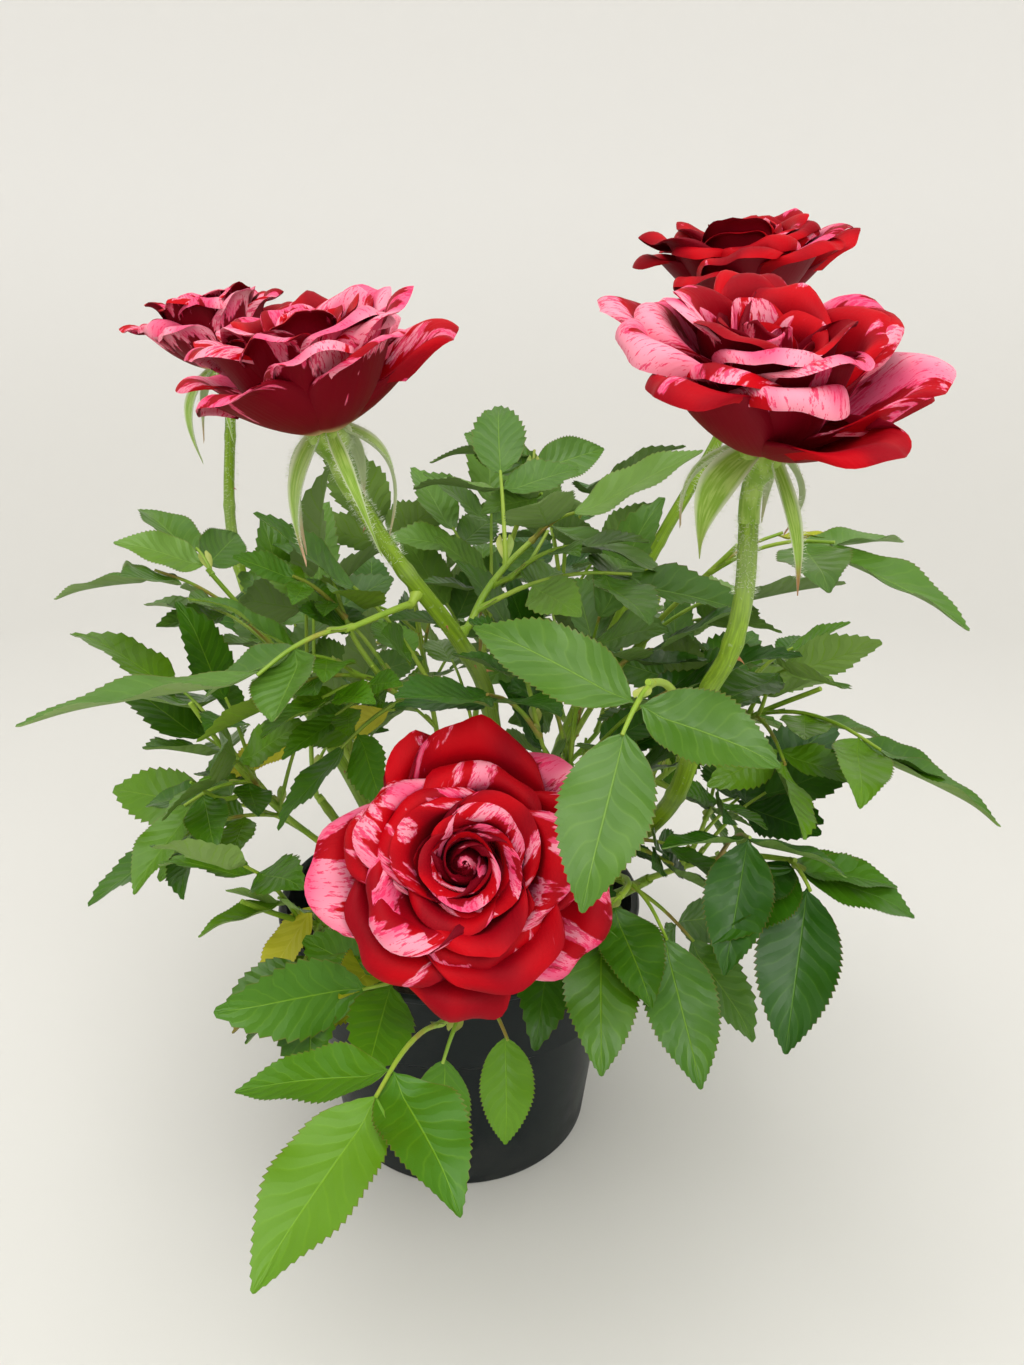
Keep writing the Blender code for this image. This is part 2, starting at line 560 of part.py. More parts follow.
def bloom_solids(start, heading, axis, radius, openness, seed):
    """All solids of one bloom: stub, hip, petals, heart and sepals, and points that fill its room."""
    rng = np.random.default_rng(seed)
    frame = bloom_frame(axis)
    seat = start + heading * STUB_LENGTH + unit(axis) * STUB_LENGTH * 0.5
    stub = np.array([start, start + heading * STUB_LENGTH * 0.6, seat, seat + unit(axis) * 0.003])
    solids = [tube(stub, np.full(4, STUB_R), LIMB_SIDES)]
    samples = []

    def place(points):
        return seat + points @ frame.T

    profile_z = np.array([0.0, 0.0025, 0.0055, HIP_HEIGHT, HIP_HEIGHT + 0.0035])
    profile_r = np.array([STUB_R * 0.8, STUB_R * 1.2, HIP_R, HIP_R * 0.92, 0.0030])
    hip_path = np.stack([0 * profile_z, 0 * profile_z, profile_z], axis=1)
    vertices, faces = tube(hip_path, profile_r, 6)
    solids.append((place(vertices), faces))
    heart = np.array(HEART_PROFILE) * radius
    heart_path = np.stack([0 * heart[:, 0], 0 * heart[:, 0], HIP_HEIGHT + heart[:, 1]], axis=1)
    vertices, faces = tube(heart_path, heart[:, 0] * (1.25 - 0.25 * openness), HEART_SIDES)
    solids.append((place(vertices), faces))
    turn = rng.uniform(0, 2 * math.pi)
    for rank, (count, share, angle, ratio, root) in enumerate(PETAL_ROWS):
        for k in range(count):
            azimuth = turn + (k + 0.5 * rank + rng.uniform(-0.06, 0.06)) * 2 * math.pi / count
            tilt = math.radians(angle * openness + rng.uniform(-4, 4))
            reach = radius * share * rng.uniform(0.94, 1.05)
            shape = (reach, tilt, ratio, root + HIP_HEIGHT - 0.0015, azimuth)
            vertices, faces = sheet_solid(petal_grid(*shape, 3, 3), PETAL_THICKNESS)
            solids.append((place(vertices), faces))
            samples.append(place(petal_grid(*shape, 7, 5).reshape(-1, 3)))
    for k in range(5):
        azimuth = rng.uniform(-0.2, 0.2) + k * 2 * math.pi / 5
        out = np.array([math.cos(azimuth), math.sin(azimuth), 0.0])
        sag = rng.uniform(0.75, 1.15)
        root = place(out * (HIP_R * 0.55) + np.array([0, 0, HIP_HEIGHT - 0.001]))
        along = unit(frame @ unit(out * 0.75 - np.array([0, 0, sag])) - 0.25 * UP)
        face = square_to(frame @ out, along)
        size = SEPAL_LENGTH * rng.uniform(0.8, 1.2)
        blade = (root, along, face, size, SEPAL_WIDTH)
        solids.append(leaflet_solid(blade))
        samples.append(leaflet_samples(blade))
    return solids, np.vstack(samples)


# ---------------------------------------------------------------- the plant
def limb_path(route):
    """Points along a limb, as many as its length needs."""
    rough = smooth_path(route, 40)
    return smooth_path(route, max(4, int(round(length_of(rough) / LIMB_RING_STEP)) + 1))


def routed_limbs():
    """The limbs by name; one that grows on from another starts 0.3 mm past that one's tip, in line with it."""
    limbs = {}
    for name, route, foot_radius, tip_radius in LIMBS:
        if isinstance(route[0], str):
            below = limb_path(limbs[route[0]][1])
            heading = unit(below[-1] - below[-2])
            start = below[-1] + heading * GAP
            route = (start, start + heading * KNEE, *route[1:])
        limbs[name] = (name, route, foot_radius, tip_radius)
    return limbs


def limb_solid(route, foot_radius, tip_radius):
    """A tapering limb, cut level and flared where it stands on the compost, or square to the limb below."""
    if route[0][2] > FOOT:
        path = np.vstack([route[0], limb_path(route[1:])])
        return tube(path, np.linspace(foot_radius, tip_radius, len(path)), LIMB_SIDES)
    path = limb_path(route)
    radii = np.linspace(foot_radius, tip_radius, len(path))
    above = path[0] + unit(path[1] - path[0]) * FOOT_FLARE_HEIGHT
    path = np.vstack([path[:1], above, path[1:]])
    radii = np.insert(radii, 0, radii[0] * FOOT_FLARE)
    vertices, faces = tube(path, radii, LIMB_SIDES)
    vertices[:LIMB_SIDES, 2] = FOOT
    return vertices, faces


def spray_stem(host, place, middle, end):
    """Path of a spray's stem, from 0.3 mm clear of its host to its end."""
    _, route, foot_radius, tip_radius = host
    line = smooth_path(route, 60)
    middle, end = np.asarray(middle, float), np.asarray(end, float)
    if place >= 1.0:
        heading = unit(line[-1] - line[-2])
        start = line[-1] + heading * GAP
    else:
        index = int(place * (len(line) - 1))
        tangent = unit(line[index + 1] - line[index])
        radius = foot_radius + (tip_radius - foot_radius) * place
        heading = square_to(middle - line[index], tangent)
        start = line[index] + heading * (radius + GAP)
    knee = start + heading * KNEE
    return np.vstack([start, smooth_path((knee, middle, end), 4)])


def grow_plant():
    """Lay out every limb, bloom and spray, each spray as its stem and its leaves."""
    room = Room()
    limbs = routed_limbs()
    for _, route, foot_radius, _ in limbs.values():
        line = smooth_path(route, 60)
        room.fill(line, foot_radius + LIMB_CLEAR, 0)
    blooms = {}
    for name, cane, axis, radius, openness, seed in BLOOMS:
        seat, heading = bloom_seat(limbs[cane][1])
        solids, samples = bloom_solids(seat, heading, axis, radius, openness, seed)
        blooms[name] = solids
        room.fill(samples, LEAF_CLEAR, 0)
        room.fronts.append((seat + unit(axis) * HIP_HEIGHT, unit(axis), radius))
    stems, leaves = {}, {}
    for name, host, place, middle, end, *_ in SPRAYS:
        stems[name] = spray_stem(limbs[host], place, middle, end)
        leaves[name] = []
        room.fill(smooth_path(stems[name][1:], 20)[3:], 0.0012 + LIMB_CLEAR, 0)
    for name, place, joint, tip, pairs, left, right, tilt in PLACED_LEAVES:
        start = stem_point(stems[name], place)
        spreads = (math.radians(left), math.radians(right))
        leaf = compound_leaf(start, joint, tip, pairs, spreads, math.radians(tilt))
        leaves[name].append(leaf)
        room.fill(leaf_samples(leaf), LEAF_CLEAR, 0)
    for name, host, place, middle, end, count, span, reach, seed in SPRAYS:
        rng = np.random.default_rng(seed)
        turn = rng.uniform(0, 2 * math.pi)
        for k in range(count):
            for attempt in range(TRIES):
                spot = 0.10 + 0.90 * (k + rng.uniform(0.0, 1.0 + 0.12 * attempt)) / count
                azimuth = turn + k * GOLDEN_TURN + attempt * rng.uniform(0.4, 1.0)
                leaf = grown_leaf(rng, stems[name], min(spot, 1.0), azimuth, span)
                samples = leaf_samples(leaf)
                fits = in_crown(samples) and near_path(samples, stems[name], reach)
                if fits and room.is_clear(samples):
                    leaves[name].append(leaf)
                    room.fill(samples, LEAF_CLEAR, 0)
                    break
    return blooms, stems, leaves


def spray_solids(stem, leaves):
    """Solids of a spray: the stem, each leaf's stalk and its leaflets."""
    solids = [tube(stem, np.linspace(0.0014, 0.0009, len(stem)), STEM_SIDES)]
    for path, leaflets in leaves:
        solids.append(tube(path, np.linspace(STALK_R, STALK_END_R, len(path)), TWIG_SIDES))
        solids += [leaflet_solid(leaflet) for leaflet in leaflets]
    return solids


# ---------------------------------------------------------------- the pot
def spun(name, profile, sides):
    """A closed solid of revolution from (radius, height) points that start and end on the axis."""
    working = bmesh.new()
    points = [working.verts.new((r, 0.0, z)) for r, z in profile]
    edges = [working.edges.new(pair) for pair in zip(points[:-1], points[1:])]
    bmesh.ops.spin(working, geom=points + edges, cent=(0, 0, 0), axis=(0, 0, 1), angle=2 * math.pi,
                   steps=sides, use_duplicate=False, use_merge=True)
    bmesh.ops.remove_doubles(working, verts=working.verts, dist=0.00001)
    bmesh.ops.recalc_face_normals(working, faces=working.faces)
    mesh = bpy.data.meshes.new(name)
    working.to_mesh(mesh)
    working.free()
    return bpy.data.objects.new(name, mesh)


def inner_radius(height):
    """Radius of the pot's inner wall at a height."""
    heights = (POT_FLOOR, POT_BODY_TOP, POT_COLLAR_LOW + POT_WALL, POT_HEIGHT)
    radii = (POT_BASE_R, POT_BODY_R, POT_COLLAR_LOW_R, POT_RIM_R)
    return float(np.interp(height, heights, radii)) - POT_WALL


def make_pot(finish):
    """The pot: a tapered body, a wider collar with a rolled lip, and a flat floor."""
    outer = [(0.0, 0.0), (POT_BASE_R - 0.0012, 0.0), (POT_BASE_R, 0.0012), (POT_BODY_R, POT_BODY_TOP),
             (POT_COLLAR_LOW_R, POT_COLLAR_LOW), (POT_RIM_R, POT_HEIGHT - 0.0030),
             (POT_RIM_R + POT_LIP, POT_HEIGHT - 0.0020), (POT_RIM_R + POT_LIP, POT_HEIGHT - 0.0006),
             (POT_RIM_R + POT_LIP - 0.0006, POT_HEIGHT)]
    inner = [(POT_RIM_R - POT_WALL, POT_HEIGHT)]
    inner += [(inner_radius(h), h) for h in (POT_COLLAR_LOW + POT_WALL, POT_BODY_TOP, POT_FLOOR)]
    inner.append((0.0, POT_FLOOR))
    pot = spun("pot", outer + inner, POT_SIDES)
    bpy.context.scene.collection.objects.link(pot)
    pot.data.materials.append(finish)
    pot.data.shade_smooth()
    pot.data.set_sharp_from_angle(angle=math.radians(35))
    return pot


def make_soil(finish):
    """The compost that fills the pot, flat where the limbs stand."""
    slack = GAP / math.cos(math.pi / POT_SIDES)
    low = POT_FLOOR + GAP
    heights = (low, POT_BODY_TOP, POT_COLLAR_LOW + POT_WALL, SOIL_TOP - SOIL_DOME)
    side = [(inner_radius(h) - slack, h) for h in heights]
    profile = [(0.0, low)] + side + [(inner_radius(SOIL_TOP) - 0.008, SOIL_TOP), (0.0, SOIL_TOP)]
    soil = spun("soil", profile, POT_SIDES)
    bpy.context.scene.collection.objects.link(soil)
    soil.data.materials.append(finish)
    return soil


def main():
    """Clear the scene and build every sub-part."""
    for old in list(bpy.data.objects):
        bpy.data.objects.remove(old)
    make_pot(material("pot_plastic", POT_COLOUR, 0.42))
    make_soil(material("compost", SOIL_COLOUR, 0.95))
    cane_finish = material("cane_bark", CANE_COLOUR, 0.50)
    leaf_finish = material("leaf_green", LEAF_COLOUR, 0.55)
    petal_finish = material("petal_crimson", PETAL_COLOUR, 0.60)
    for name, route, foot_radius, tip_radius in routed_limbs().values():
        limb = mesh_object(name, *limb_solid(route, foot_radius, tip_radius))
        bpy.context.scene.collection.objects.link(limb)
        limb.data.materials.append(cane_finish)
        limb.data.shade_smooth()
        limb.data.set_sharp_from_angle(angle=math.radians(50))
    blooms, stems, leaves = grow_plant()
    for name, solids in blooms.items():
        fused(name, solids, petal_finish)
    for name, stem in stems.items():
        fused(name, spray_solids(stem, leaves[name]), leaf_finish)


main()
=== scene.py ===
"""Looks of the potted patio rose: striped blooms, saw-edged leaves, green canes and a black nursery pot.

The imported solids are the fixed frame. Every foliage mass is grown again by the same seeded rule, so each
leaf lies where its solid lies, and is then carried on to finer twigs, smaller leaves, veins and teeth.
Units are metres, +Z is up and the origin is the centre of the pot's flat underside.
"""

import logging
import math
from dataclasses import dataclass, field
from enum import Enum

import bpy
import numpy as np
from mathutils import Matrix


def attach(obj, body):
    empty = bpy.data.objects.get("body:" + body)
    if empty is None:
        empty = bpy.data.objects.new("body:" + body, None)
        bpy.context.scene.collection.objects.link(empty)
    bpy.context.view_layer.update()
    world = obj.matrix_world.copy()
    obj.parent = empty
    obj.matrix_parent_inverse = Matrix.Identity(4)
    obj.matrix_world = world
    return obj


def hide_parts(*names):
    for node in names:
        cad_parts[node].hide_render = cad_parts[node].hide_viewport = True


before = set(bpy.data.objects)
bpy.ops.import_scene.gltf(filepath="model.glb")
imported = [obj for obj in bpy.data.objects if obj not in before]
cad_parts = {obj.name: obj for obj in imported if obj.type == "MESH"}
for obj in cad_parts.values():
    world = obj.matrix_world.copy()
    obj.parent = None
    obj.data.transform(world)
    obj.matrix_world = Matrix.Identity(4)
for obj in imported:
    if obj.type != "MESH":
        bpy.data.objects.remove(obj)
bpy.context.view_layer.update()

LOG = logging.getLogger("patio_rose")
Array = np.ndarray
Draws = np.random.Generator
Socket = bpy.types.NodeSocket
Material = bpy.types.Material
Colour = tuple[float, float, float]
Point = tuple[float, float, float]

# ---- driving sizes, shared with the solids
GAP = 0.0003
UP = np.array([0.0, 0.0, 1.0])
SIDEWAYS = np.array([1.0, 0.0, 0.0])
FULL_TURN = 2 * math.pi

POT_BASE_R = 0.0430
POT_BODY_R = 0.0495
POT_BODY_TOP = 0.0520
POT_COLLAR_LOW_R = 0.0562
POT_COLLAR_LOW = 0.0575
POT_RIM_R = 0.0590
POT_HEIGHT = 0.0840
POT_WALL = 0.0014
POT_FLOOR = 0.0020
POT_LIP = 0.0012
SOIL_TOP = 0.0720
FOOT = SOIL_TOP + GAP

STALK_ROOT = 0.0022
KNEE = 0.0025
END_ROOT = 0.0018
LEAF_DROOP = 0.10
LATERAL_SCALE = 0.84
JOINT_GAP = 0.22
PAIR_STEP = 0.56
WIDTH_RATIO = 0.62

CROWN_CENTRE = np.array([0.010, -0.006, 0.145])
CROWN_RADII = np.array([0.128, 0.132, 0.108])
GOLDEN_TURN = math.radians(137.5)
TRIES = 26
LEAF_CLEAR = 0.0032
LIMB_CLEAR = 0.0022
STEM_SOLID_R = 0.0012
HOST_POINTS = 60
SAMPLE_ROWS = 8
SAMPLE_COLUMNS = 5
BLOOM_SIGHT = 0.085
OVER_POT = 0.006
BESIDE_POT = 0.005
LOOK_ROUND = 0.01

HIP_R = 0.0050
HIP_HEIGHT = 0.0090
STUB_R = 0.0021
STUB_LENGTH = 0.0040
SEPAL_LENGTH = 0.026
SEPAL_WIDTH = 0.0062
PETAL_SEAT = HIP_HEIGHT - 0.0015
PETAL_OVERLAP = 0.11
PETAL_CUP = 0.16


# ---- vectors and curves
def unit(vector: Array) -> Array:
    """The vector at length one."""
    vector = np.asarray(vector, float)
    return vector / np.linalg.norm(vector)


def square_to(vector: Array, axis: Array) -> Array:
    """The part of a vector that is square to an axis, at length one."""
    axis = unit(axis)
    return unit(vector - axis * np.dot(vector, axis))


def turned(vector: Array, axis: Array, angle: float) -> Array:
    """A vector turned about an axis by the right-hand rule.

    Args:
        vector: the vector to turn.
        axis: the axis, of any length.
        angle: the turn in radians.

    Returns:
        The turned vector.
    """
    axis = unit(axis)
    along = axis * np.dot(axis, vector)
    return vector * math.cos(angle) + np.cross(axis, vector) * math.sin(angle) + along * (1 - math.cos(angle))


def own_axes(facing: Array) -> Array:
    """Three axes as columns: sideways, the one square to both, and the way that the thing faces."""
    side = square_to(SIDEWAYS, facing)
    return np.stack([side, np.cross(facing, side), facing], axis=1)


def smooth_path(points: Array, count: int) -> Array:
    """Points evenly spread by parameter on a Catmull-Rom curve.

    Args:
        points: the points that the curve runs through.
        count: how many points to return.

    Returns:
        An array of count points.
    """
    points = np.asarray(points, float)
    padded = np.vstack([2 * points[0] - points[1], points, 2 * points[-1] - points[-2]])
    spans = len(points) - 1
    place = np.linspace(0.0, spans, count)
    index = np.minimum(place.astype(int), spans - 1)
    t = (place - index)[:, None]
    a, b, c, d = (padded[index + k] for k in range(4))
    return 0.5 * (2 * b + (c - a) * t + (2 * a - 5 * b + 4 * c - d) * t**2 + (3 * b - a - 3 * c + d) * t**3)


def distance_along(path: Array) -> Array:
    """Distance from a path's start to each of its points."""
    return np.concatenate([[0.0], np.cumsum(np.linalg.norm(np.diff(path, axis=0), axis=1))])


def length_of(path: Array) -> float:
    """Length of a path of points."""
    return float(np.linalg.norm(np.diff(path, axis=0), axis=1).sum())


def nearest(path: Array, point: Array) -> int:
    """Number of the path's point that lies nearest to another point."""
    return int(np.linalg.norm(path - point, axis=1).argmin())


def lengths_one(vectors: Array) -> Array:
    """Each vector of an array, along the last axis, at length one."""
    return vectors / np.maximum(np.linalg.norm(vectors, axis=-1, keepdims=True), 1e-12)


def headings(paths: Array) -> Array:
    """Unit tangents at every point of one path or of many."""
    return lengths_one(np.gradient(paths, axis=-2))


def path_frames(path: Array) -> tuple[Array, Array]:
    """Tangents and turning-free normals along a path.

    Args:
        path: points along the path.

    Returns:
        The unit tangents and the unit normals, one of each for every point.
    """
    tangents = headings(path)
    side = square_to(np.array([1.0, 0.13, 0.07]), tangents[0])
    normals = []
    for tangent in tangents:
        side = square_to(side, tangent)
        normals.append(side)
    return tangents, np.array(normals)


def smooth_step(value: Array, low: float, high: float) -> Array:
    """Rises from 0 at low to 1 at high along a cubic with level ends."""
    t = np.clip((value - low) / (high - low), 0.0, 1.0)
    return t * t * (3 - 2 * t)


def levels(low: float, high: float, count: int, axis: int = 1, axes: int = 3) -> Array:
    """Evenly spread numbers laid along one axis of an array."""
    return np.linspace(low, high, count).reshape([count if k == axis else 1 for k in range(axes)])


def bell(value: Array, width: float) -> Array:
    """A bell curve: 1 at nought, falling off over a width."""
    return np.exp(-((value / width) ** 2))


def circle(sides: int) -> tuple[Array, Array]:
    """Cosines and sines of a ring's corners."""
    angle = np.arange(sides) * (FULL_TURN / sides)
    return np.cos(angle), np.sin(angle)


def revolved(profile: Array, sides: int) -> Array:
    """A profile turned about +Z.

    Args:
        profile: radius and height of each ring.
        sides: corners of each ring.

    Returns:
        Points shaped (rings, sides, 3).
    """
    cosine, sine = circle(sides)
    height = np.broadcast_to(profile[:, 1:], (len(profile), sides))
    return np.stack([profile[:, :1] * cosine, profile[:, :1] * sine, height], axis=-1)


# ---- surfaces gathered into meshes
def quads(index: Array) -> Array:
    """Four-cornered faces between the neighbours of a grid of point numbers, one row of corners each."""
    corners = [index[:-1, :-1], index[1:, :-1], index[1:, 1:], index[:-1, 1:]]
    return np.stack(corners, axis=-1).reshape(-1, 4)


def grid_chart(rows: int, columns: int) -> Array:
    """Coordinates across and along a grid, both from 0 to 1, at the corners of its faces.

    Args:
        rows: rows of points.
        columns: columns of points.

    Returns:
        Coordinates shaped (faces, 4, 2).
    """
    along, across = np.meshgrid(np.linspace(0, 1, rows), np.linspace(0, 1, columns), indexing="ij")
    faces = quads(np.arange(rows * columns).reshape(rows, columns))
    return np.stack([across, along], axis=-1).reshape(-1, 2)[faces]


class Surface:
    """Sheets, tubes and turned shapes gathered as whole arrays, then made into one joined mesh.

    Each sheet side and each tube has its own cell in the tidy chart OFBake, and its own coordinates
    across and along itself in the chart SkinUV. Numbers that differ from one sheet to the next, such as a
    leaflet's shade, are kept on its faces.
    """

    MARGIN = 0.03
    CAP_RADIUS = 0.02

    def __init__(self) -> None:
        self.points: list[Array] = []
        self.faces: list[Array] = []
        self.chart: list[Array] = []
        self.cells: list[Array] = []
        self.traits: dict[str, list[Array]] = {}
        self.point_count = 0
        self.cell_count = 0

    def _take(self, points: Array, faces: Array, chart: Array, cells: Array,
              traits: dict[str, Array]) -> None:
        """Gather N copies of one topology.

        Args:
            points: shaped (N, points, 3).
            faces: corner numbers of one copy, shaped (faces, corners).
            chart: coordinates of those corners, shaped (faces, corners, 2).
            cells: which of a copy's own cells each face lies in, shaped (faces,).
            traits: a value for each copy or for each face of each copy.
        """
        copies, size, _ = points.shape
        shift = self.point_count + np.arange(copies)[:, None, None] * size
        self.points.append(points.reshape(-1, 3))
        self.faces.append((faces[None] + shift).reshape(-1, faces.shape[1]))
        self.chart.append(np.broadcast_to(chart, (copies, *chart.shape)).reshape(-1, faces.shape[1], 2))
        own = int(cells.max()) + 1
        self.cells.append((cells[None] + self.cell_count + own * np.arange(copies)[:, None]).ravel())
        for name, value in traits.items():
            value = np.asarray(value, float).reshape(-1, 1) if np.ndim(value) < 2 else value
            filled = np.broadcast_to(value, (copies, len(faces))).ravel()
            self.traits.setdefault(name, []).append(filled)
        self.point_count += copies * size
        self.cell_count += own * copies

    def sheets(self, top: Array, thickness: float, **traits: Array) -> None:
        """Closed thin solids: two faces that meet in a sharp rim.

        Each under face is the top face moved back along its own normal, the row direction crossed with
        the column direction, by the thickness. Both faces share the rim's points.

        Args:
            top: points of N sheets, shaped (N, rows, columns, 3); rows run along the sheet.
            thickness: distance between the faces.
            traits: a value for each sheet.
        """
        copies, rows, columns, _ = top.shape
        normals = lengths_one(np.cross(np.gradient(top, axis=1), np.gradient(top, axis=2)))
        inner = (top - normals * thickness)[:, 1:-1, 1:-1]
        points = np.concatenate([top.reshape(copies, -1, 3), inner.reshape(copies, -1, 3)], axis=1)
        index = np.arange(rows * columns).reshape(rows, columns)
        below = index.copy()
        below[1:-1, 1:-1] = rows * columns + np.arange((rows - 2) * (columns - 2)).reshape(rows - 2, -1)
        corners = grid_chart(rows, columns)
        faces = np.vstack([quads(index), quads(below)[:, [0, 3, 2, 1]]])
        side = np.repeat([0, 1], len(corners))
        traits = dict(traits, skin_side=np.broadcast_to(side[None], (copies, len(faces))))
        self._take(points, faces, np.concatenate([corners, corners[:, [0, 3, 2, 1]]]), side, traits)

    def tubes(self, paths: Array, normals: Array, radii: Array, sides: int, **traits: Array) -> None:
        """Closed round tubes: a circle carried along each path, its ends capped.

        Args:
            paths: shaped (N, rings, 3).
            normals: a unit vector square to the path at each ring, of the same shape.
            radii: shaped (N, rings), or (N, rings, sides) for a tube that isn't round.
            sides: corners of the circle.
            traits: a value for each tube.
        """
        binormals = np.cross(headings(paths), normals)
        radii = radii[..., None] if radii.ndim == 2 else radii
        cosine, sine = (value[:, None] for value in circle(sides))
        ring = cosine * normals[:, :, None] + sine * binormals[:, :, None]
        self.rings(paths[:, :, None] + radii[..., None] * ring, **traits)

    def rings(self, points: Array, **traits: Array) -> None:
        """Closed shapes made of rings: a wall of quads and a flat cap at each end.

        Args:
            points: shaped (N, rings, sides, 3), each ring right-handed about the way that they follow.
            traits: a value for each shape.
        """
        copies, rings, sides, _ = points.shape
        index = np.arange(rings * sides).reshape(rings, sides)
        wall = quads(np.hstack([index, index[:, :1]]))[:, ::-1]
        start, cell = self.point_count, self.cell_count
        self._take(points.reshape(copies, -1, 3), wall, grid_chart(rings, sides + 1)[:, ::-1],
                   np.zeros(len(wall), int), traits)
        caps = np.stack([index[0][::-1], index[-1]])
        shift = start + np.arange(copies)[:, None, None] * (rings * sides)
        self.faces.append((caps[None] + shift).reshape(-1, sides))
        disc = 0.5 + self.CAP_RADIUS * np.stack(circle(sides), axis=-1)
        self.chart.append(np.broadcast_to(disc, (2 * copies, sides, 2)))
        self.cells.append(np.repeat(cell + np.arange(copies), 2))
        for name, value in traits.items():
            value = np.broadcast_to(np.asarray(value, float).reshape(-1, 1), (copies, 2))
            self.traits[name].append(value.ravel())

    def piece(self, name: str, finish: "Finish", slot: str, *nodes: str, crease: float = 65.0) -> None:
        """Make the gathered surfaces one mesh object that rides on the plant's body.

        Args:
            name: the piece's name.
            finish: what it is dressed in.
            slot: the name of a material slot; not used.
            nodes: solids that it stands for.
            crease: edges sharper than this many degrees are shaded sharp.
        """
        mesh = bpy.data.meshes.new(name)
        points = np.vstack(self.points)
        mesh.vertices.add(len(points))
        mesh.vertices.foreach_set("co", points.astype(np.float32).ravel())
        corners = np.concatenate([part.ravel() for part in self.faces])
        sizes = np.concatenate([np.full(len(part), part.shape[1]) for part in self.faces])
        mesh.loops.add(len(corners))
        mesh.loops.foreach_set("vertex_index", corners.astype(np.int32))
        mesh.polygons.add(len(sizes))
        mesh.polygons.foreach_set("loop_start", (np.cumsum(sizes) - sizes).astype(np.int32))
        mesh.update(calc_edges=True)
        chart = np.concatenate([part.reshape(-1, 2) for part in self.chart])
        cell = np.repeat(np.concatenate(self.cells), sizes)
        side = math.ceil(math.sqrt(self.cell_count))
        bake = np.stack([cell % side, cell // side], axis=-1) + self.MARGIN + (1 - 2 * self.MARGIN) * chart
        for title, values in (("OFBake", bake / side), ("SkinUV", chart)):
            mesh.uv_layers.new(name=title).data.foreach_set("uv", values.astype(np.float32).ravel())
        for title, values in self.traits.items():
            trait = mesh.attributes.new(title, "FLOAT", "FACE")
            trait.data.foreach_set("value", np.concatenate(values).astype(np.float32))
        mesh.shade_smooth()
        mesh.set_sharp_from_angle(angle=math.radians(crease))
        mesh.materials.append(finish.material())
        made = add_to_scene(name, mesh)
        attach(made, "root")
        if nodes:
            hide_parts(*nodes)
        LOG.info("%s: %d faces, stands for %s", name, len(sizes), ", ".join(nodes) or "no solid")


def add_to_scene(name: str, data: bpy.types.ID) -> bpy.types.Object:
    """Put a new object in the scene.

    Args:
        name: the object's name.
        data: the mesh, light or camera that it holds.

    Returns:
        The object.
    """
    made = bpy.data.objects.new(name, data)
    bpy.context.scene.collection.objects.link(made)
    return made


# ---- finishes
class Signal:
    """A number, colour or vector on its way through a recipe, on which sums can be written."""

    def __init__(self, recipe: "Recipe", socket: Socket) -> None:
        self.recipe = recipe
        self.socket = socket

    def __add__(self, other: "Value") -> "Signal":
        """This plus another."""
        return self.recipe.math("ADD", self, other)

    def __sub__(self, other: "Value") -> "Signal":
        """This less another."""
        return self.recipe.math("SUBTRACT", self, other)

    def __rsub__(self, other: "Value") -> "Signal":
        """Another less this."""
        return self.recipe.math("SUBTRACT", other, self)

    def __mul__(self, other: "Value") -> "Signal":
        """This times another."""
        return self.recipe.math("MULTIPLY", self, other)


Value = Signal | float | tuple


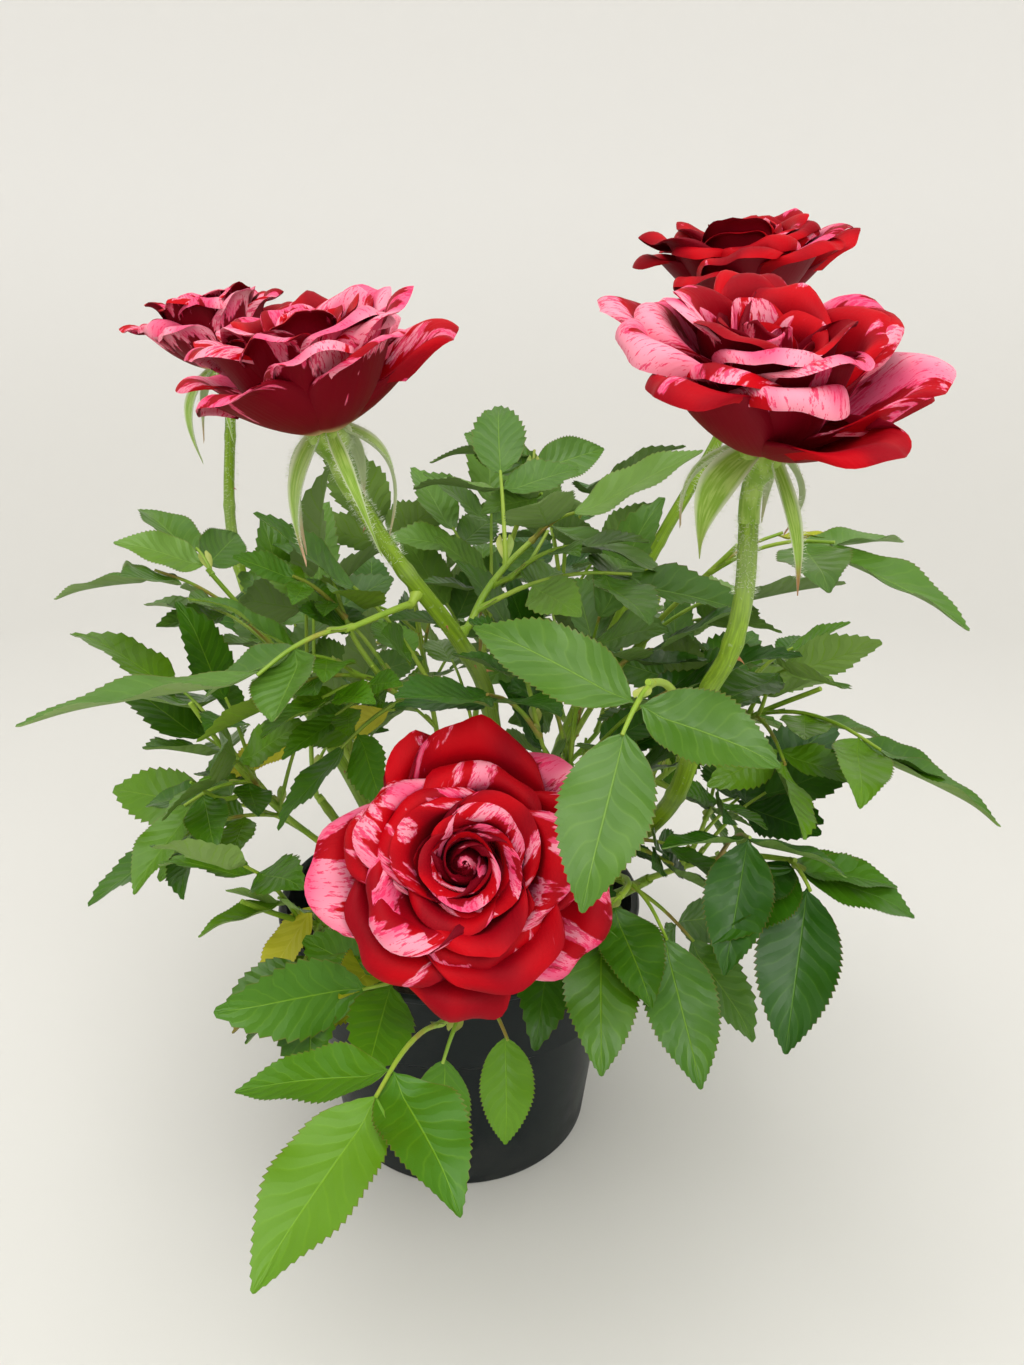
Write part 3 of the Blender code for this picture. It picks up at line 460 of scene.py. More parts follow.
class Recipe:
    """A procedural material written as a chain of named steps around one Principled shader."""

    def __init__(self, name: str) -> None:
        self.made = bpy.data.materials.new(name)
        self.made.use_nodes = True
        self.tree = self.made.node_tree
        self.shader = self.tree.nodes["Principled BSDF"]

    def feed(self, socket: Socket, value: Value) -> None:
        """Link a socket to a signal, or set its plain value.

        Args:
            socket: the socket.
            value: what it gets.
        """
        if isinstance(value, Signal):
            self.tree.links.new(value.socket, socket)
        elif isinstance(value, tuple) and socket.type == "RGBA":
            socket.default_value = (*value[:3], 1.0)
        else:
            socket.default_value = value

    def node(self, kind: str, *values: Value, output: int | str = 0, setting: tuple = (),
             **inputs: Value) -> Signal:
        """Add a shader node.

        Args:
            kind: the node's type without its common first words.
            values: what its first inputs get, in order.
            output: which output is read.
            setting: one of its settings and what that is set to.
            inputs: what its named inputs get.

        Returns:
            The output's signal.
        """
        made = self.tree.nodes.new("ShaderNode" + kind)
        if setting:
            setattr(made, *setting)
        for socket, value in zip(made.inputs, values):
            self.feed(socket, value)
        for name, value in inputs.items():
            self.feed(made.inputs[name], value)
        return Signal(self, made.outputs[output])

    def math(self, operation: str, a: Value, b: Value = 0.0) -> Signal:
        """One sum on one or two numbers."""
        return self.node("Math", a, b, setting=("operation", operation))

    def mix(self, share: Value, a: Value, b: Value) -> Signal:
        """A colour between a and b.

        Args:
            share: 0 for a, 1 for b.
            a: the first colour.
            b: the second colour.

        Returns:
            The colour.
        """
        made = self.tree.nodes.new("ShaderNodeMix")
        made.data_type = "RGBA"
        for index, value in ((0, share), (6, a), (7, b)):
            self.feed(made.inputs[index], value)
        return Signal(self, made.outputs[2])

    def step(self, value: Value, low: float, high: float) -> Signal:
        """A smooth rise from 0 at low to 1 at high."""
        return self.node("MapRange", value, low, high, setting=("interpolation_type", "SMOOTHSTEP"))

    def point(self, x: Value, y: Value, z: Value) -> Signal:
        """A vector from three numbers."""
        return self.node("CombineXYZ", x, y, z)

    def noise(self, where: Value, scale: float, detail: float = 2.0, rough: float = 0.5,
              warp: float = 0.0) -> Signal:
        """Cloudy noise from 0 to 1 about 0.5."""
        return self.node("TexNoise", Vector=where, Scale=scale, Detail=detail, Roughness=rough,
                         Distortion=warp)

    def place(self) -> Signal:
        """Object coordinates, which for every piece are the row frame in metres."""
        return self.node("TexCoord", output="Object")

    def height(self) -> Signal:
        """Height above the floor."""
        return self.node("SeparateXYZ", self.place(), output=2)

    def skin(self) -> tuple[Signal, Signal]:
        """Coordinates across and along each sheet or tube, both from 0 to 1.

        Returns:
            Across and along.
        """
        chart = self.node("UVMap", setting=("uv_map", "SkinUV"))
        return self.node("SeparateXYZ", chart), self.node("SeparateXYZ", chart, output=1)

    def trait(self, name: str) -> Signal:
        """A number that is kept on the faces."""
        return self.node("Attribute", output="Fac", setting=("attribute_name", name))

    def relief(self, height: Value, strength: float, distance: float) -> None:
        """Raise or sink the surface by a height field, as bump."""
        bump = self.node("Bump", Strength=strength, Distance=distance, Height=height)
        self.feed(self.shader.inputs["Normal"], bump)

    def dress(self, **settings: Value) -> Material:
        """Set the shader's sockets.

        Args:
            settings: a value for each socket, an underscore standing for each space in its name.

        Returns:
            The material.
        """
        for name, value in settings.items():
            self.feed(self.shader.inputs[name.replace("_", " ")], value)
        return self.made


class Finish:
    """A finish that makes its material once and hands the same one to every piece."""

    _made: dict["Finish", Material] = {}

    def material(self) -> Material:
        """The finish's material, built the first time that it is asked for.

        Returns:
            The material.
        """
        if self not in Finish._made:
            Finish._made[self] = self.recipe()
        return Finish._made[self]

    def recipe(self) -> Material:
        """Build the material."""
        raise NotImplementedError


@dataclass(frozen=True)
class PetalSkin(Finish):
    """Velvety petal, painted in streaks that run from its claw to its rim.

    Three noises, stretched along the petal, are added to the petal's own share of pink. Where the sum passes
    a threshold the petal is pink, with a ragged border and specks, and elsewhere it is red.
    """

    name: str = "petal_striped"
    bright: Colour = (0.49, 0.0, 0.005)
    deep: Colour = (0.27, 0.0, 0.006)
    # outside: the under face's darker crimson, partly the petal's own colour and partly painted shade
    outside: Colour = (0.17, 0.0, 0.007)
    pink: Colour = (0.76, 0.10, 0.21)
    blush: Colour = (0.86, 0.29, 0.38)
    magenta: Colour = (0.72, 0.02, 0.10)
    claw: Colour = (0.80, 0.62, 0.30)
    streaks_across: float = 6.5
    streaks_along: float = 1.25
    stripe_low: float = 0.672
    stripe_high: float = 0.700

    def recipe(self) -> Material:
        """Lay the coats.

        Returns:
            The material.
        """
        r = Recipe(self.name)
        across, along = r.skin()
        seed, side = r.trait("petal_seed"), r.trait("skin_side")
        shifted = across * self.streaks_across + seed * 41.0
        run, depth = along * self.streaks_along, seed * 17.0
        streaks = r.point(shifted, run, depth)
        broad, fine = r.noise(streaks, 1.0, 2.5, 0.55, 0.35), r.noise(streaks, 4.2, 3.0, 0.62, 0.2)
        patch = r.noise(r.point(across * 2.0, along * 1.6, depth), 1.3, 1.0)
        rim = r.step(along, 0.45, 0.95) * 0.13 - 0.085
        total = (broad * 0.76 + fine * 0.22 + patch * 0.38
                 + (r.trait("petal_paint") * 0.50 - 0.25 - side * 0.02) + rim)
        slow = r.noise(r.point(across * 3.0, run, depth), 1.1, 1.0)
        # the under face takes the darker crimson: partly its own colour, partly painted shade
        red = r.mix(side, r.mix(r.step(slow, 0.35, 0.65), self.deep, self.bright), self.outside)
        pale = r.mix(r.step(slow, 0.38, 0.62), self.pink, self.blush)
        near = 1.0 - r.step(total, self.stripe_high, self.stripe_high + 0.10)
        speck = r.noise(r.point(shifted * 3.4, run * 3.0, depth), 3.0, 3.0, 0.7) + near * 0.10
        pale = r.mix(r.step(speck, 0.570, 0.625) * 0.85, pale, self.magenta)
        colour = r.mix(r.step(total, self.stripe_low, self.stripe_high), red, pale)
        colour = r.mix(1.0 - r.step(along, 0.03, 0.16), colour, self.claw)
        r.relief(r.noise(r.point(across * 60.0, along * 2.4, depth), 1.0, 2.0), 0.22, 0.0004)
        return r.dress(Base_Color=colour, Roughness=0.58, Specular_IOR_Level=0.10, Sheen_Weight=0.02,
                       Sheen_Roughness=0.45, Sheen_Tint=(0.95, 0.35, 0.40))


@dataclass(frozen=True)
class LeafSkin(Finish):
    """Leaflet with a pale midrib, side veins that bend towards the tip, a quilted face and a matte back."""

    name: str
    light: Colour
    dark: Colour
    under: Colour
    rib: Colour
    tooth: Colour = (0.16, 0.10, 0.02)
    roughness: float = 0.36
    veins: float = 8.0
    vein_sweep: float = 1.7
    vein_wander: float = 1.3
    quilting: float = 0.34

    def recipe(self) -> Material:
        """Lay the coats.

        Returns:
            The material.
        """
        r = Recipe(self.name)
        across, along = r.skin()
        seed, side = r.trait("leaf_seed"), r.trait("skin_side")
        out = r.math("ABSOLUTE", across * 2.0 - 1.0)
        rib = 1.0 - r.step(out, 0.008, 0.034)
        cloud = r.noise(r.point(across, along, seed * 23.0), 2.2, 2.0)
        sweep = r.math("POWER", out, 0.8) * self.vein_sweep
        phase = r.math("FRACT", cloud * self.vein_wander + along * self.veins - sweep)
        middle = r.math("ABSOLUTE", phase * 2.0 - 1.0)
        vein = (1.0 - r.step(middle, 0.03, 0.22)) * (1.0 - r.step(out, 0.70, 0.98))
        mottle = r.noise(r.place(), 320.0, 3.0, 0.6)
        colour = r.mix(r.step(seed * 0.55 + cloud * 0.5 - 0.02, 0.1, 0.9), self.dark, self.light)
        colour = r.mix(mottle * 0.22, colour, self.dark)
        for share, tint in ((r.step(seed, 0.72, 0.95) * 0.28, self.rib), (vein * 0.13, self.rib),
                            (rib * 0.50, self.rib), (r.step(out, 0.955, 1.0) * 0.55, self.tooth)):
            colour = r.mix(share, colour, tint)
        back = r.mix(r.math("MAXIMUM", vein, rib) * 0.6, self.under, self.rib)
        r.relief((middle - rib * 1.6) * 0.75 + mottle * 0.35, self.quilting, 0.0006)
        return r.dress(Base_Color=r.mix(side, colour, back), Specular_IOR_Level=0.34,
                       Roughness=side * 0.28 + mottle * 0.12 + (self.roughness - 0.06))


@dataclass(frozen=True)
class StalkSkin(Finish):
    """Young stalk: yellow-green, flushed red in places, finely grooved along its length."""

    name: str = "stalk_green"
    green: Colour = (0.19, 0.34, 0.015)
    pale: Colour = (0.32, 0.46, 0.04)
    flush: Colour = (0.30, 0.10, 0.035)

    def recipe(self) -> Material:
        """Lay the coats.

        Returns:
            The material.
        """
        r = Recipe(self.name)
        across, along = r.skin()
        seed = r.trait("stalk_seed")
        cloud = r.noise(r.place(), 90.0)
        colour = r.mix(r.step(cloud, 0.35, 0.65), self.green, self.pale)
        colour = r.mix(r.step(seed + cloud * 1.2 - 0.6, 0.80, 1.05) * 0.65, colour, self.flush)
        r.relief(r.noise(r.point(across * 9.0, along, seed), 2.0), 0.35, 0.0003)
        return r.dress(Base_Color=colour, Roughness=0.48)


@dataclass(frozen=True)
class CaneSkin(Finish):
    """Green cane: long fine fibres, pale pores, and brown, cracked bark where it leaves the compost."""

    name: str = "cane_bark"
    green: Colour = (0.135, 0.245, 0.004)
    light: Colour = (0.230, 0.380, 0.010)
    brown: Colour = (0.13, 0.075, 0.035)
    bloom: Colour = (0.30, 0.40, 0.16)
    wood_top: float = 0.088
    wood_fade: float = 0.030

    def recipe(self) -> Material:
        """Lay the coats.

        Returns:
            The material.
        """
        r = Recipe(self.name)
        across, along = r.skin()
        fibre = r.noise(r.point(across * 26.0, along * 7.0, 0.0), 1.0, 3.0, 0.6)
        cloud = r.noise(r.place(), 55.0)
        colour = r.mix(r.step(fibre, 0.35, 0.68), self.green, self.light)
        colour = r.mix(r.step(cloud, 0.48, 0.72) * 0.35, colour, self.bloom)
        pore = r.step(r.noise(r.place(), 900.0, 1.0), 0.66, 0.72)
        colour = r.mix(pore * 0.5, colour, self.bloom)
        green = r.step(cloud * 0.02 + r.height(), self.wood_top, self.wood_top + self.wood_fade)
        colour = r.mix(1.0 - green, colour, r.mix(fibre, self.brown, self.light))
        r.relief(pore * 0.4 + fibre, 0.5, 0.0004)
        return r.dress(Base_Color=colour, Roughness=0.46, Specular_IOR_Level=0.45)


@dataclass(frozen=True)
class SepalSkin(Finish):
    """Sepals and hip: light green, felted white along the edges and on the inner face."""

    name: str = "sepal_felt"
    green: Colour = (0.20, 0.36, 0.020)
    pale: Colour = (0.36, 0.52, 0.10)
    felt: Colour = (0.66, 0.70, 0.52)
    tip: Colour = (0.45, 0.06, 0.05)

    def recipe(self) -> Material:
        """Lay the coats.

        Returns:
            The material.
        """
        r = Recipe(self.name)
        across, along = r.skin()
        blush = r.trait("sepal_blush")
        out = r.math("ABSOLUTE", across * 2.0 - 1.0)
        cloud = r.noise(r.place(), 210.0, 3.0, 0.65)
        fibre = r.noise(r.point(across * 14.0, along * 5.0, blush), 1.0, 3.0)
        colour = r.mix(r.step(fibre + cloud * 0.3, 0.5, 0.85), self.green, self.pale)
        edge = r.math("MAXIMUM", r.step(out, 0.62, 1.0), r.trait("skin_side") * 0.75)
        colour = r.mix(edge * 0.75, colour, self.felt)
        colour = r.mix(r.step(along, 0.70, 0.92) * blush, colour, self.tip)
        r.relief(fibre + cloud, 0.4, 0.0004)
        return r.dress(Base_Color=colour, Roughness=0.66, Sheen_Weight=0.45, Sheen_Roughness=0.4,
                       Sheen_Tint=(0.9, 1.0, 0.8))


@dataclass(frozen=True)
class PlainSkin(Finish):
    """A base colour with a cloud and a grain in it: hairs, prickles, stipules."""

    name: str
    colour: Colour
    second: Colour
    roughness: float = 0.6

    def recipe(self) -> Material:
        """Lay the coats.

        Returns:
            The material.
        """
        r = Recipe(self.name)
        cloud = r.noise(r.place(), 160.0, 3.0, 0.6)
        r.relief(cloud, 0.2, 0.0003)
        return r.dress(Base_Color=r.mix(r.step(cloud, 0.36, 0.64), self.colour, self.second),
                       Roughness=self.roughness)


@dataclass(frozen=True)
class PotPlastic(Finish):
    """Black nursery-pot plastic: satin, faintly orange-peeled, with dust in patches, more of it low down."""

    name: str = "pot_plastic"
    black: Colour = (0.0050, 0.0090, 0.0095)
    dust: Colour = (0.030, 0.032, 0.030)
    dust_top: float = 0.030

    def recipe(self) -> Material:
        """Lay the coats.

        Returns:
            The material.
        """
        r = Recipe(self.name)
        cloud = r.noise(r.place(), 60.0, 4.0, 0.65)
        low = 1.0 - r.step(r.height(), 0.0, self.dust_top)
        dusty = r.step(low * 0.18 + cloud, 0.52, 0.80) * 0.55
        r.relief(r.noise(r.place(), 1500.0), 0.12, 0.0003)
        return r.dress(Base_Color=r.mix(dusty, self.black, self.dust), Specular_IOR_Level=0.18,
                       Roughness=cloud * 0.16 + dusty * 0.25 + 0.30)


@dataclass(frozen=True)
class Compost(Finish):
    """Dark peat with lighter fibres and a few pale grains."""

    name: str = "compost"
    peat: Colour = (0.022, 0.013, 0.008)
    brown: Colour = (0.075, 0.043, 0.023)
    grain: Colour = (0.20, 0.15, 0.10)

    def recipe(self) -> Material:
        """Lay the coats.

        Returns:
            The material.
        """
        r = Recipe(self.name)
        coarse = r.noise(r.place(), 260.0, 5.0, 0.7)
        fibre = r.noise(r.place(), 900.0, 3.0, 0.6, 1.5)
        colour = r.mix(r.step(coarse, 0.35, 0.70), self.peat, self.brown)
        colour = r.mix(r.step(fibre, 0.64, 0.74) * 0.5, colour, self.grain)
        r.relief(coarse + fibre, 0.9, 0.0012)
        return r.dress(Base_Color=colour, Roughness=0.93)


@dataclass(frozen=True)
class Backdrop(Finish):
    """Pale seamless paper: a warm grey floor that turns lighter as it rises; the lighter wall is painted
    light, standing for more light falling on it.
    """

    name: str = "backdrop_paper"
    floor: Colour = (0.70, 0.69, 0.655)
    wall: Colour = (0.80, 0.79, 0.765)
    rise: float = 0.5

    def recipe(self) -> Material:
        """Lay the coats.

        Returns:
            The material.
        """
        r = Recipe(self.name)
        r.relief(r.noise(r.place(), 40.0, 3.0), 0.03, 0.001)
        # painted light: the wall's lighter colour stands for the light that falls more on it than on the
        # floor
        return r.dress(Base_Color=r.mix(r.step(r.height(), 0.0, self.rise), self.floor, self.wall),
                       Roughness=0.85, Specular_IOR_Level=0.2)


class Tone(Enum):
    """Leaf colours, dealt out by spray. The upper, middle, deep and fresh tones are one green lit
    differently: upper is painted light and sheen, deep is painted shade, fresh is painted light shining
    through. Golden and browned are the leaves' own colours.
    """

    # painted light and sheen: a lighter, greyer green that stands for the sky's light on the top leaves
    UPPER = LeafSkin("leaf_upper_painted_light", (0.115, 0.240, 0.026), (0.048, 0.135, 0.008), (0.22, 0.34, 0.10),
                     (0.20, 0.36, 0.04), roughness=0.38)
    MIDDLE = LeafSkin("leaf_middle", (0.085, 0.210, 0.004), (0.030, 0.110, 0.001), (0.19, 0.32, 0.06),
                      (0.17, 0.33, 0.01))
    # painted shade: a darker copy of the green, for the sprays that lie inside and behind the crown
    DEEP_PAINTED_SHADE = LeafSkin("leaf_deep_painted_shade", (0.036, 0.130, 0.002), (0.012, 0.068, 0.001), (0.14, 0.25, 0.05),
                    (0.10, 0.24, 0.01))
    # painted light: a yellower, lighter copy of the green that stands for light shining through the leaves
    FRESH_PAINTED_BACKLIGHT = LeafSkin("leaf_fresh_painted_backlight", (0.082, 0.212, 0.001), (0.045, 0.155, 0.001), (0.18, 0.31, 0.02),
                     (0.19, 0.38, 0.01), roughness=0.44)
    GOLDEN = LeafSkin("leaf_golden", (0.50, 0.46, 0.012), (0.30, 0.36, 0.010), (0.46, 0.44, 0.06),
                      (0.60, 0.56, 0.06), tooth=(0.30, 0.16, 0.02), roughness=0.52)
    BROWNED = LeafSkin("leaf_browned", (0.23, 0.20, 0.015), (0.10, 0.065, 0.015), (0.18, 0.14, 0.05),
                       (0.30, 0.26, 0.04), tooth=(0.14, 0.05, 0.015), roughness=0.6)


# ---- the plan of the plant
@dataclass(frozen=True)
class Limb:
    """One tapering cane or bough: its route and its radius at either end."""

    name: str
    route: tuple
    foot_radius: float
    tip_radius: float

    @property
    def rooted(self) -> bool:
        """True where the limb leaves the compost."""
        return self.route[0][2] <= FOOT


@dataclass(frozen=True)
class Bloom:
    """One bloom.

    Attributes:
        cane: the cane that it stands on.
        axis: the way it faces.
        radius: reach of its outer petals' solids.
        openness: how far its petals have opened.
        seed: its own random numbers.
        paint: middling share of pink on a petal.
        spread: how far the petals' shares differ from it.
        fullness: the bloom's radius as a share of its solids'.
        breadth: width of its petals against a middling bloom's.
        lean: how far its top is pushed sideways.
        painted: whorl, petal and share of the petals whose share of pink is set.
    """

    name: str
    cane: str
    axis: Point
    radius: float
    openness: float
    seed: int
    paint: float = 0.5
    spread: float = 0.30
    fullness: float = 0.87
    breadth: float = 1.0
    lean: float = 0.0
    painted: tuple[tuple[int, int, float], ...] = ()


@dataclass(frozen=True)
class Spray:
    """One foliage mass: its host, the route of its stem, its seeded leaves, its tone and its finer twigs."""

    name: str
    host: str
    place: float
    middle: Point
    end: Point
    count: int
    span: float
    reach: float
    seed: int
    tone: Tone
    twigs: int


@dataclass(frozen=True)
class PlacedLeaf:
    """A leaf with a place of its own: joint under its end leaflet, that leaflet's tip, and its side pairs.

    A tone of its own sets a leaf apart from its spray.
    """

    spray: str
    place: float
    joint: Point
    tip: Point
    pairs: int
    left: float
    right: float
    tilt: float
    tone: Tone | None = None


# Every length in the tables of limbs, sprays and leaves is in tenths of a millimetre.
TENTHS = 10000.0


def metres(lengths: float | tuple | list) -> float | tuple:
    """A length, or any nest of lengths, from tenths of a millimetre to metres."""
    return tuple(map(metres, lengths)) if isinstance(lengths, (tuple, list)) else lengths / TENTHS


# Name, radius at foot and tip, and route. A route starts at a place on the compost, or with the name of
# the limb that it grows on from.
LIMBS = (
    ("cane_front", 28, 23, (40, -200), (40, -360, 1000), (55, -600, 1262), (65, -780, 1364)),
    ("cane_right_low", 30, 25, (220, -80), (440, -360, 1140), (575, -700, 1500), (600, -950, 1880)),
    ("cane_right_high", 24, 22, "cane_right_low", (630, -1005, 1995), (650, -1006, 2120), (650, -998, 2275)),
    ("cane_left", 30, 22, (-20, -60), (120, -360, 1300), (115, -490, 1680), (45, -590, 1890),
     (-95, -687, 2120), (-188, -710, 2285)),
    ("cane_back_right", 29, 20, (180, 160), (340, 240, 1250), (620, 270, 1900), (840, 290, 2320),
     (885, 300, 2530)),
    ("cane_back_left", 28, 20, (-180, 140), (-400, 260, 1150), (-680, 410, 1580), (-800, 500, 1950),
     (-770, 500, 2370)),
    ("bough_left", 24, 17, (-260, -40), (-320, -110, 920), (-400, -200, 1100)),
    ("bough_left_high", 25, 17, (-120, 0), (-180, -20, 960), (-260, -60, 1180)),
    ("bough_front_left", 22, 16, (-120, -260), (-180, -360, 860), (-260, -470, 980)),
    ("bough_front_low", 22, 16, (120, -320), (115, -450, 840), (105, -600, 920)),
    ("bough_right_low", 24, 17, (320, -100), (450, -200, 900), (580, -320, 1060)),
    ("bough_right", 25, 17, (300, 60), (400, 40, 920), (540, -10, 1140)),
    ("bough_right_high", 27, 18, (140, 20), (200, -10, 960), (280, -60, 1220)),
    ("bough_middle", 27, 18, (20, 100), (25, 100, 960), (40, 80, 1240)),
    ("bough_back", 25, 17, (-40, 280), (-60, 370, 920), (-90, 480, 1120)),
    ("bough_back_right", 24, 16, (140, 320), (240, 410, 880), (360, 510, 1040)),
    ("bough_back_left", 24, 16, (-300, 180), (-400, 250, 880), (-520, 330, 1020)),
)

BLOOMS = (
    Bloom("bloom_front", "cane_front", (0.02, -0.86, 0.50), 0.0345, 1.00, 11, 0.34, 0.22, 0.95, 1.30,
          painted=((0, 0, 0.62), (0, 1, 0.10), (0, 2, 0.55), (0, 3, 0.15), (0, 4, 0.50))),
    Bloom("bloom_right", "cane_right_high", (0.10, -0.36, 0.93), 0.0365, 0.93, 12, 0.38, lean=-0.008),
    Bloom("bloom_left", "cane_left", (-0.20, -0.16, 0.97), 0.0350, 0.84, 13, 0.54, 0.36),
    Bloom("bloom_back_right", "cane_back_right", (-0.08, -0.16, 0.98), 0.0350, 0.88, 14, 0.22,
          fullness=0.95, breadth=1.08),
    Bloom("bloom_back_left", "cane_back_left", (-0.16, -0.05, 0.96), 0.0260, 0.70, 15, 0.48, fullness=1.0),
)

# The two outer whorls as the solids have them: count, share of the radius, opening in degrees, width to
# length, height of the root above the hip.
OUTER_ROWS = (
    (5, 1.00, 95.0, 0.84, 0.0000),
    (5, 0.80, 62.0, 0.82, 0.0016),
)

# Name, host, share of the host's length, the stem's middle and end, seeded leaves, length of a middling
# leaf, reach from the stem, seed, tone and finer twigs. The upper, deep and fresh tones are painted light
# and sheen, painted shade, and painted light shining through.
SPRAYS = tuple(
    Spray("spray_" + name, host, place, *metres((middle, end)), count, *metres((span, reach)), *rest)
    for name, host, place, middle, end, count, span, reach, *rest in (
        ("front_trio", "cane_right_low", 0.965, (500, -1080, 1940), (436, -1190, 1990), 0, 600, 800, 21,
         Tone.UPPER, 0),
        ("left_long", "cane_left", 0.74, (-90, -730, 2015), (-200, -830, 1990), 0, 600, 800, 22,
         Tone.UPPER, 0),
        ("centre_fan", "cane_left", 0.62, (130, -500, 2030), (240, -440, 2130), 3, 640, 740, 23,
         Tone.UPPER, 2),
        ("left_inner", "cane_left", 0.42, (-60, -440, 1700), (-240, -560, 1800), 4, 640, 740, 37,
         Tone.FRESH_PAINTED_BACKLIGHT, 2),
        ("centre_low", "cane_right_low", 0.30, (330, -440, 1360), (350, -490, 1740), 8, 660, 740, 38,
         Tone.DEEP_PAINTED_SHADE, 4),
        ("front_low", "bough_front_low", 1.0, (80, -850, 1020), (5, -1060, 1105), 5, 660, 740, 24,
         Tone.FRESH_PAINTED_BACKLIGHT, 1),
        ("front_left", "bough_front_left", 1.0, (-400, -640, 1120), (-520, -740, 1240), 8, 660, 740, 25,
         Tone.MIDDLE, 3),
        ("front_right", "cane_right_low", 0.36, (480, -680, 1270), (440, -840, 1310), 4, 660, 740, 26,
         Tone.MIDDLE, 2),
        ("left", "bough_left", 1.0, (-560, -360, 1380), (-690, -460, 1680), 10, 680, 780, 27,
         Tone.MIDDLE, 1),
        ("left_high", "bough_left_high", 1.0, (-460, -120, 1620), (-700, -160, 1980), 11, 680, 780, 28,
         Tone.UPPER, 1),
        ("right_low", "bough_right_low", 1.0, (760, -540, 1260), (880, -780, 1380), 7, 660, 760, 29,
         Tone.DEEP_PAINTED_SHADE, 3),
        ("right", "bough_right", 1.0, (800, -180, 1480), (1020, -400, 1700), 10, 700, 800, 30,
         Tone.MIDDLE, 4),
        ("right_high", "bough_right_high", 1.0, (480, -220, 1700), (760, -420, 2100), 10, 680, 800, 31,
         Tone.UPPER, 1),
        ("middle", "bough_middle", 1.0, (100, 20, 1760), (240, -80, 2240), 10, 660, 800, 32, Tone.UPPER, 1),
        ("back", "bough_back", 1.0, (-160, 620, 1500), (-220, 680, 1960), 9, 780, 900, 33, Tone.MIDDLE, 2),
        ("back_right", "bough_back_right", 1.0, (600, 620, 1320), (740, 660, 1760), 9, 780, 900, 34,
         Tone.MIDDLE, 6),
        ("back_left", "bough_back_left", 1.0, (-580, 520, 1180), (-560, 640, 1480), 8, 780, 900, 35,
         Tone.MIDDLE, 7),
        ("heart", "cane_back_right", 0.30, (340, 420, 1480), (360, 460, 1940), 9, 680, 800, 36,
         Tone.DEEP_PAINTED_SHADE, 1),
    ))


def placed_leaves(*rows: tuple) -> tuple[PlacedLeaf, ...]:
    """Leaves from rows of spray, place on its stem, joint, tip, pairs, left and right spread, tilt, tone."""
    return tuple(PlacedLeaf("spray_" + row[0], row[1], *metres(row[2:4]), *row[4:]) for row in rows)


PLACED_LEAVES = placed_leaves(
    ("front_trio", 1.00, (380, -1275, 1915), (290, -1500, 1690), 1, 96, 90, -8),
    ("left_long", 1.00, (-370, -970, 1930), (-820, -1130, 1905), 1, 62, 62, 6),
    ("centre_fan", 1.00, (330, -510, 2200), (660, -580, 2370), 1, 60, 60, -18),
    ("left_inner", 1.00, (-340, -640, 1870), (-570, -610, 2060), 1, 62, 62, 14),
    ("front_low", 1.00, (-90, -1420, 1215), (-275, -1740, 1120), 1, 76, 44, 0),
    ("front_low", 0.35, (165, -930, 960), (180, -1060, 740), 0, 60, 60, 0),
    ("front_low", 0.70, (10, -1040, 980), (-10, -1130, 730), 0, 60, 60, 0),
    ("front_left", 0.50, (-440, -680, 1215), (-640, -740, 1200), 1, 60, 60, 10),
    ("front_left", 0.15, (-330, -780, 1040), (-520, -880, 960), 1, 70, 70, 0),
    ("front_right", 1.00, (385, -915, 1275), (355, -1190, 1090), 1, 36, 48, -6),
    ("front_right", 0.62, (540, -960, 1270), (590, -1220, 1080), 0, 54, 54, 8),
    ("left", 0.55, (-720, -510, 1400), (-830, -720, 1290), 2, 66, 66, 0),
    ("left_high", 0.70, (-830, -220, 1990), (-1120, -220, 1990), 2, 56, 56, 8),
    ("left_high", 1.00, (-740, -110, 2030), (-940, 60, 2170), 1, 56, 56, 8),
    ("right_low", 0.50, (750, -830, 1470), (670, -1050, 1270), 1, 58, 58, -6),
    ("right_low", 1.00, (900, -860, 1340), (810, -1110, 1080), 2, 62, 62, 0),
    ("right", 0.75, (1120, -620, 1610), (1420, -730, 1520), 2, 46, 46, -10),
    ("right_high", 0.90, (960, -580, 2140), (1270, -740, 2040), 1, 58, 58, 4),
    ("middle", 1.00, (240, -30, 2300), (-30, 10, 2350), 1, 64, 64, 10),
    ("middle", 0.85, (260, -120, 2190), (120, -270, 2200), 1, 58, 58, -30),
)

ODD_LEAVES = placed_leaves(
    ("left", 0.35, (-440, -215, 1520), (-640, -330, 1460), 0, 60, 60, -20, Tone.GOLDEN),
    ("left_high", 0.30, (-170, -220, 1570), (-370, -280, 1520), 0, 60, 60, -30, Tone.GOLDEN),
    ("front_left", 0.40, (-360, -660, 1190), (-500, -790, 1020), 0, 60, 60, 0, Tone.GOLDEN),
    ("front_left", 0.10, (-110, -790, 1090), (-360, -910, 990), 1, 50, 50, -25, Tone.GOLDEN),
    ("front_left", 0.30, (-380, -800, 1050), (-540, -890, 985), 0, 60, 60, 0, Tone.BROWNED),
    ("right_high", 0.80, (880, -400, 2130), (1020, -420, 2150), 0, 60, 60, 0, Tone.GOLDEN),
    ("right_low", 0.20, (820, -420, 1180), (980, -520, 1060), 0, 60, 60, 20, Tone.GOLDEN),
    ("back", 0.45, (-260, 800, 1500), (-340, 1000, 1440), 1, 60, 60, 0, Tone.GOLDEN),
)

